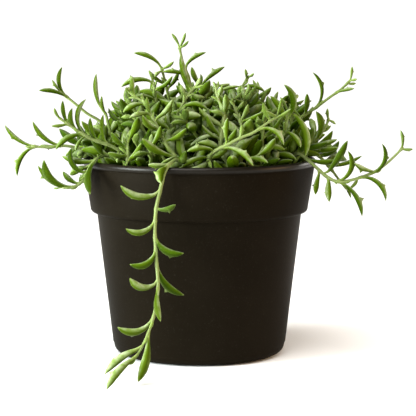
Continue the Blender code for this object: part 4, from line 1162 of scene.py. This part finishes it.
def add_fine_stem(parts, stem, thickness, tones, draw):
    """The stem as a round tube, a little swollen where its leaves leave it."""
    route = stem.route
    along = np.arange(len(route)) * STEM_STEP
    radius = stem_radii(route) * thickness
    for leaf in stem.leaves:
        place = np.argmin(np.linalg.norm(route - leaf.root, axis=1)) * STEM_STEP
        radius = radius + NODE_SWELL * np.exp(-((along - place) / NODE_LENGTH) ** 2)
    radius[-1] *= STEM_END
    directions = [route_direction(route, index) for index in range(len(route))]
    frame_side = across(np.array((1.0, 0.2, 0.1)), directions[0])
    angle = np.arange(STEM_SIDES) * 2 * math.pi / STEM_SIDES
    rings = []
    for place, direction, reach in zip(route, directions, radius):
        frame_side = across(frame_side, direction)
        other = np.cross(direction, frame_side)
        rings.append(place + reach * (np.cos(angle)[:, None] * frame_side
                                      + np.sin(angle)[:, None] * other))
    parts.add_loft(np.array(rings), 1, share=np.linspace(0.0, 1.0, len(route))[:, None],
                   tone=draw.uniform(*tones))


class Graph:
    """A material's node graph, written from the texture side to the shader."""

    def __init__(self, name):
        self.material = bpy.data.materials.new(name)
        self.material.use_nodes = True
        self.tree = self.material.node_tree
        self.shader = self.tree.nodes["Principled BSDF"]

    def node(self, kind, inputs, **settings):
        made = self.tree.nodes.new(kind)
        for name, value in settings.items():
            setattr(made, name, value)
        for name, value in inputs.items():
            self.feed(made.inputs[name], value)
        return made

    def feed(self, socket, value):
        if isinstance(value, bpy.types.NodeSocket):
            self.tree.links.new(value, socket)
        elif isinstance(value, tuple) and len(value) == 3 and socket.type == "RGBA":
            socket.default_value = (*value, 1.0)
        else:
            socket.default_value = value

    def value(self, kind):
        return self.node("ShaderNodeAttribute", {}, attribute_name=kind).outputs["Fac"]

    def noise(self, scale, detail=3.0, roughness=0.5):
        place = self.node("ShaderNodeTexCoord", {}).outputs["Object"]
        made = self.node("ShaderNodeTexNoise", {"Vector": place, "Scale": scale, "Detail": detail,
                                                "Roughness": roughness})
        return made.outputs["Fac"]

    def ranged(self, value, low, high, to_low=0.0, to_high=1.0):
        made = self.node("ShaderNodeMapRange", {"Value": value, "From Min": low, "From Max": high,
                                                "To Min": to_low, "To Max": to_high})
        return made.outputs["Result"]

    def product(self, first, second):
        made = self.node("ShaderNodeMath", {0: first, 1: second}, operation="MULTIPLY")
        return made.outputs[0]

    def mix(self, share, first, second):
        """A colour between two, whose sockets are 6 and 7 of the node and come out as 2."""
        made = self.node("ShaderNodeMix", {"Factor": share, 6: first, 7: second},
                         data_type="RGBA")
        return made.outputs[2]

    def bump(self, grain, strength, distance):
        made = self.node("ShaderNodeBump", {"Height": self.noise(*grain), "Strength": strength,
                                            "Distance": distance})
        self.feed(self.shader.inputs["Normal"], made.outputs["Normal"])

    def set(self, **values):
        for name, value in values.items():
            self.feed(self.shader.inputs[name.replace("_", " ")], value)


def leaf_material():
    """Waxy leaf: deep green, with painted shade darkening its lower face, greyed on top by a waxy
    coat that is partly a painted highlight, and pale at its stalk, fins and point.
    """
    graph = Graph("dolphin leaf")
    tone = graph.value("tone")
    share = graph.value("share")
    mottle = graph.noise(*LEAF_MOTTLE)
    body = graph.mix(tone, *LEAF_BODY)
    # Painted shade: the lower face of each leaf is given the darker under colour
    under = graph.mix(tone, *LEAF_SHADED_UNDER)
    upper = graph.ranged(graph.value("upper"), *UPPER_RUN)
    colour = graph.mix(upper, under, body)
    # Grey-green on the tops of pale leaves: partly waxy coat, partly painted highlight
    bloom_and_sheen_from = graph.ranged(tone, *BLOOM_AND_SHEEN_STARTS)
    bloom_and_sheen = graph.product(graph.ranged(graph.value("upper"), bloom_and_sheen_from, 1.0),
                          graph.ranged(mottle, *BLOOM_AND_SHEEN_MOTTLE))
    bloom_and_sheen = graph.product(bloom_and_sheen, graph.ranged(tone, *BLOOM_AND_SHEEN_TONES))
    colour = graph.mix(bloom_and_sheen, colour, LEAF_BLOOM_AND_SHEEN)
    margin = graph.product(graph.value("margin"), MARGIN_PALE)
    colour = graph.mix(margin, colour, LEAF_MARGIN)
    stalk = graph.ranged(share, *STALK_RUN)
    colour = graph.mix(graph.product(stalk, STALK_PALE), colour, LEAF_STALK)
    point = graph.ranged(share, *POINT_RUN)
    colour = graph.mix(graph.product(point, POINT_PALE), colour, LEAF_POINT)
    youth = graph.product(graph.value("youth"), YOUTH_PALE)
    colour = graph.mix(youth, colour, LEAF_YOUNG)
    graph.set(Base_Color=colour, Roughness=graph.ranged(mottle, *LEAF_ROUGHNESS),
              Subsurface_Weight=0.1, Subsurface_Radius=(0.6, 1.0, 0.25),
              Subsurface_Scale=0.0022, Specular_IOR_Level=0.025)
    graph.bump(*LEAF_GRAIN)
    return graph.material


def stem_material():
    """Pale yellow-green stem, browner and duller where it is old."""
    graph = Graph("dolphin stem")
    mottle = graph.noise(*STEM_NOISE)
    fresh = graph.mix(graph.value("tone"), *STEM_FRESH)
    colour = graph.mix(graph.ranged(graph.value("share"), *OLD_RUN), fresh, STEM_OLD)
    colour = graph.mix(graph.ranged(mottle, *STEM_MOTTLE_RUN), colour, STEM_MOTTLE)
    graph.set(Base_Color=colour, Roughness=0.5, Subsurface_Weight=0.12,
              Subsurface_Radius=(0.8, 1.0, 0.3), Subsurface_Scale=0.0015, Specular_IOR_Level=0.2)
    graph.bump(*STEM_GRAIN)
    return graph.material


def pot_material():
    """Charcoal moulded plastic: a fine matt grain, faint scuffs and dust, and a shinier bead."""
    graph = Graph("charcoal plastic")
    cloud = graph.noise(*PLASTIC_CLOUD)
    speck = graph.noise(*PLASTIC_SPECK)
    colour = graph.mix(graph.ranged(cloud, *CLOUD_RUN), *PLASTIC)
    place = graph.node("ShaderNodeTexCoord", {}).outputs["Object"]
    height = graph.node("ShaderNodeSeparateXYZ", {"Vector": place}).outputs["Z"]
    bead = graph.ranged(height, (POT_HEIGHT - BEAD_HEIGHT) * MM,
                        (POT_HEIGHT - BEAD_HEIGHT / 2) * MM)
    colour = graph.mix(graph.ranged(speck, *SCUFF_RUN), colour, SCUFFS)
    graph.set(Base_Color=colour, Roughness=graph.ranged(bead, *BEAD_ROUGHNESS),
              Specular_IOR_Level=graph.ranged(bead, *BEAD_SPECULAR))
    graph.bump(*PLASTIC_GRAIN)
    return graph.material


def soil_material():
    """Damp dark peat with paler fibres and bark."""
    graph = Graph("damp potting mix")
    grain = graph.noise(*PEAT_NOISE)
    peat = graph.mix(graph.ranged(grain, *PEAT_RUN), *PEAT)
    colour = graph.mix(graph.product(graph.value("tone"), CHIP_PALE), peat, BARK)
    graph.set(Base_Color=colour, Roughness=graph.ranged(grain, *PEAT_ROUGHNESS),
              Specular_IOR_Level=0.25)
    graph.bump(*PEAT_GRAIN)
    return graph.material


def floor_material():
    graph = Graph("pale floor")
    graph.set(Base_Color=FLOOR_WHITE, Roughness=0.9, Specular_IOR_Level=0.0)
    return graph.material


def fine_outer_wall():
    """Outside of the pot with every edge rounded, from the rim's top down to the foot."""
    shoulder = POT_HEIGHT - COLLAR_HEIGHT
    bead = BEAD_HEIGHT / 2
    line = arc_points((RIM_RADIUS - WALL + LIP_ROUND, POT_HEIGHT - LIP_ROUND), LIP_ROUND,
                      180, 90, 4)
    line += arc_points((RIM_RADIUS + BEAD_PROUD - bead, POT_HEIGHT - bead), bead, 78, -48, 10)
    line += [(RIM_RADIUS - inward, POT_HEIGHT - BEAD_HEIGHT - drop) for inward, drop in GROOVE]
    line += arc_points((COLLAR_LOW_RADIUS - COLLAR_ROUND, shoulder + COLLAR_ROUND), COLLAR_ROUND,
                       0, -80, 7)
    line.append((BODY_TOP_RADIUS + UNDERCUT, shoulder - UNDERCUT_DROP))
    line.append((BODY_TOP_RADIUS, shoulder - SHOULDER_DROP))
    line.append((BODY_LOW_RADIUS + FOOT_BLEND, FOOT_HEIGHT + FOOT_BLEND_RISE))
    return line + arc_points((FOOT_RADIUS, FOOT_HEIGHT), FOOT_HEIGHT - BASE_RISE, 0, -90, 9)


def lathe(name, profile, steps, material):
    """A turned mesh from a profile of (radius, height) in millimetres."""
    shape = bmesh.new()
    corners = [shape.verts.new((radius * MM, 0.0, height * MM)) for radius, height in profile]
    for start, end in zip(corners, corners[1:]):
        shape.edges.new((start, end))
    mesh = mesh_from(shape, name)
    mesh.materials.append(material)
    item = add_object(name, mesh)
    screw = item.modifiers.new("Turn", "SCREW")
    screw.steps = steps
    screw.render_steps = steps
    screw.use_merge_vertices = True
    screw.merge_threshold = 0.00001
    return item


def bake_modifiers(item):
    """Turns an object's evaluated shape into its own mesh."""
    bpy.context.view_layer.update()
    evaluated = item.evaluated_get(bpy.context.evaluated_depsgraph_get())
    mesh = bpy.data.meshes.new_from_object(evaluated)
    item.modifiers.clear()
    item.data = mesh


def make_fine_pot(material):
    """The pot with round edges and its drain holes."""
    profile = [(0.0, FLOOR)] + inner_wall()[:-1] + [(RIM_RADIUS - WALL, POT_HEIGHT - LIP_INSIDE)]
    profile += fine_outer_wall() + [(FOOT_RADIUS - FOOT_RING[0], 0.0),
                                    (FOOT_RADIUS - FOOT_RING[1], BASE_RISE), (0.0, BASE_RISE)]
    pot = lathe("nursery_pot", profile, LATHE_STEPS, material)
    shape = bmesh.new()
    for index in range(DRAIN_COUNT):
        x, y = polar(DRAIN_REACH, 2 * math.pi * index / DRAIN_COUNT)
        made = bmesh.ops.create_cone(
            shape, cap_ends=True, segments=DRILL_SIDES, radius1=DRAIN_RADIUS * MM,
            radius2=DRAIN_RADIUS * MM, depth=DRILL_LENGTH * MM)
        place = (x * MM, y * MM, DRILL_MIDDLE * MM)
        bmesh.ops.translate(shape, verts=made["verts"], vec=place)
    cutter = add_object("drain_cutter", mesh_from(shape, "drain cutter"))
    holes = pot.modifiers.new("Holes", "BOOLEAN")
    holes.operation = "DIFFERENCE"
    holes.solver = "EXACT"
    holes.object = cutter
    bake_modifiers(pot)
    bpy.data.objects.remove(cutter, do_unlink=True)
    pot.data.shade_smooth()
    pot.data.set_sharp_from_angle(angle=math.radians(POT_CREASE))
    return pot


def soil_height(x, y):
    """Height of the crumbly soil at a place, in millimetres."""
    edge = soil_radius(SOIL_HEIGHT)
    share = math.hypot(x, y) / edge
    crown = SOIL_CROWN * (1.0 - share ** 2)
    place = Vector((x, y, 0.0))
    coarse, fine = [noise.fractal(place * scale, *form) for scale, form in (LUMPS, CRUMBS)]
    rough = SOIL_ROUGH * (coarse + CRUMB_SHARE * fine)
    return SOIL_HEIGHT + crown + rough * min(1.0, (1.0 - share) * EDGE_SLOPE + EDGE_ROUGH)


def add_chip(shape, draw, layer):
    """A bit of bark or a crumb lying on the soil."""
    reach = (soil_radius(SOIL_HEIGHT) - CHIP_INSET) * math.sqrt(draw.random())
    x, y = polar(reach, draw.uniform(0.0, 2 * math.pi))
    made = bmesh.ops.create_icosphere(shape, subdivisions=1, radius=1.0)
    long = draw.uniform(*(CRUMB_LENGTHS if draw.random() < CRUMB_PART else BARK_LENGTHS))
    sizes = (long, draw.uniform(*CHIP_WIDTHS) * min(long, CHIP_WIDEST),
             draw.uniform(*CHIP_HEIGHTS))
    tone = draw.uniform(*(DARK_CHIPS if draw.random() < DARK_PART else PALE_CHIPS))
    spin = draw.uniform(0.0, math.pi)
    tilt = draw.uniform(-CHIP_TILT, CHIP_TILT)
    height = soil_height(x, y) + sizes[2] * CHIP_RISE
    for corner in made["verts"]:
        jag = 1.0 + CHIP_JAG * noise.noise(corner.co * 2.0 + Vector((x, y, 0.0)))
        place = Vector(size * part * jag for size, part in zip(sizes, corner.co))
        place.z += tilt * place.x
        turned = (place.x * math.cos(spin) - place.y * math.sin(spin),
                  place.x * math.sin(spin) + place.y * math.cos(spin))
        corner.co = Vector((x + turned[0], y + turned[1], height + place.z)) * MM
        corner[layer] = tone


def make_fine_soil(material):
    """The potting mix: a crumbled top with bits lying on it, and plain sides in the pot."""
    shape = bmesh.new()
    layer = shape.verts.layers.float.new("tone")
    edge = soil_radius(SOIL_HEIGHT)
    bottom = FLOOR + SOIL_GAP
    rows = [(edge * ring / SOIL_RINGS, None) for ring in range(1, SOIL_RINGS + 1)]
    rows += [(soil_radius(height), height) for _, height in inner_wall()[-2:0:-1]]
    rows += [(soil_radius(bottom), bottom)]
    loops = []
    for radius, height in rows:
        loop = []
        for step in range(SOIL_TURNS):
            x, y = polar(radius, 2 * math.pi * step / SOIL_TURNS)
            z = soil_height(x, y) if height is None else height
            loop.append(shape.verts.new((x * MM, y * MM, z * MM)))
        loops.append(loop)
    top = shape.verts.new((0.0, 0.0, soil_height(0.0, 0.0) * MM))
    base = shape.verts.new((0.0, 0.0, bottom * MM))
    for step in range(SOIL_TURNS):
        beside = (step + 1) % SOIL_TURNS
        shape.faces.new((top, loops[0][step], loops[0][beside]))
        shape.faces.new((base, loops[-1][beside], loops[-1][step]))
        for inner_loop, outer_loop in zip(loops, loops[1:]):
            shape.faces.new((inner_loop[step], outer_loop[step], outer_loop[beside],
                             inner_loop[beside]))
    draw = random.Random(FILL_SEED + 1)
    for _ in range(CHIP_COUNT):
        add_chip(shape, draw, layer)
    mesh = mesh_from(shape, "potting_mix")
    mesh.materials.append(material)
    mesh.shade_smooth()
    mesh.set_sharp_from_angle(angle=math.radians(SOIL_CREASE))
    return add_object("potting_mix", mesh)


def make_camera():
    """The photograph's view: from the front, a little above, through a long lens."""
    data = bpy.data.cameras.new("camera")
    data.sensor_width = CAMERA_SENSOR
    data.lens = CAMERA_LENS
    data.clip_end = CAMERA_FAR
    camera = add_object("camera", data)
    camera.location = CAMERA_PLACE
    camera.rotation_euler = (math.radians(CAMERA_PITCH), 0.0, 0.0)
    bpy.context.scene.camera = camera


def make_light(name, kind, place, target, energy, settings):
    """A light at a place, turned towards its target."""
    data = bpy.data.lights.new(name, kind)
    data.energy = energy
    for setting, value in settings.items():
        setattr(data, setting, value)
    light = add_object(name, data)
    light.location = place
    direction = Vector(target) - light.location
    light.rotation_euler = direction.to_track_quat("-Z", "Y").to_euler()


def make_stage():
    """A wide pale floor under soft studio light, in a pale surround."""
    shape = bmesh.new()
    bmesh.ops.create_circle(shape, cap_ends=True, segments=96, radius=FLOOR_SPREAD)
    mesh = mesh_from(shape, "floor")
    mesh.materials.append(floor_material())
    floor = add_object("floor", mesh)
    floor.location = (0.0, 0.0, -FLOOR_DROP)
    world = bpy.data.worlds.new("surround")
    world.use_nodes = True
    surround = world.node_tree.nodes["Background"].inputs
    surround["Color"].default_value = (*SURROUND_WHITE, 1.0)
    surround["Strength"].default_value = SURROUND_STRENGTH
    bpy.context.scene.world = world
    for light in LIGHTS:
        make_light(*light)
    bpy.context.scene.view_settings.view_transform = "Standard"


def dress(piece, node):
    """Puts a piece on the body, in place of its node if it has one."""
    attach(piece, "root")
    if node:
        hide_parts(node)


def make_plant():
    """Every stem of the plant as one piece with its leaves."""
    leaf_green = leaf_material()
    stem_green = stem_material()
    plant = FullPlant()
    plant.grow()
    plant.fill()
    draw = random.Random(FILL_SEED + 2)
    for stem in plant.stems:
        parts = Parts()
        filling = stem.name.startswith("fill")
        # Front stems take the pale range, partly painted light, and the mound's and filling stems
        # the dark one, partly painted shade
        tones = DARK_TONES
        if stem.name in STEMS:
            tones = PALE_TONES if stem.name in PALE_STEMS else MIDDLE_TONES
        thickness = FILL_STEM_RADIUS / STEM_RADIUS if filling else 1.0
        add_fine_stem(parts, stem, thickness, tones, draw)
        # Painted light: leaves that point left, towards the lamps, are made paler
        turned = TURNED_LIGHT_TONES.get(stem.name, 0.0)
        for leaf in stem.leaves:
            add_fine_leaf(parts, leaf, tones, draw, turned)
            if stem.name in STEMS and leaf.length > SHORT_LEAF and draw.random() < BUD_SHARE:
                add_fine_leaf(parts, axil_bud(leaf, draw), tones, draw)
        if stem.name in LEAFY_TIPS:
            for leaf in young_leaves(stem, draw):
                add_fine_leaf(parts, leaf, tones, draw)
        piece = parts.make("leafy_" + stem.name, [leaf_green, stem_green])
        dress(piece, None if filling else "stem_" + stem.name)


make_camera()
make_stage()
dress(make_fine_pot(pot_material()), "pot")
dress(make_fine_soil(soil_material()), "soil")
make_plant()
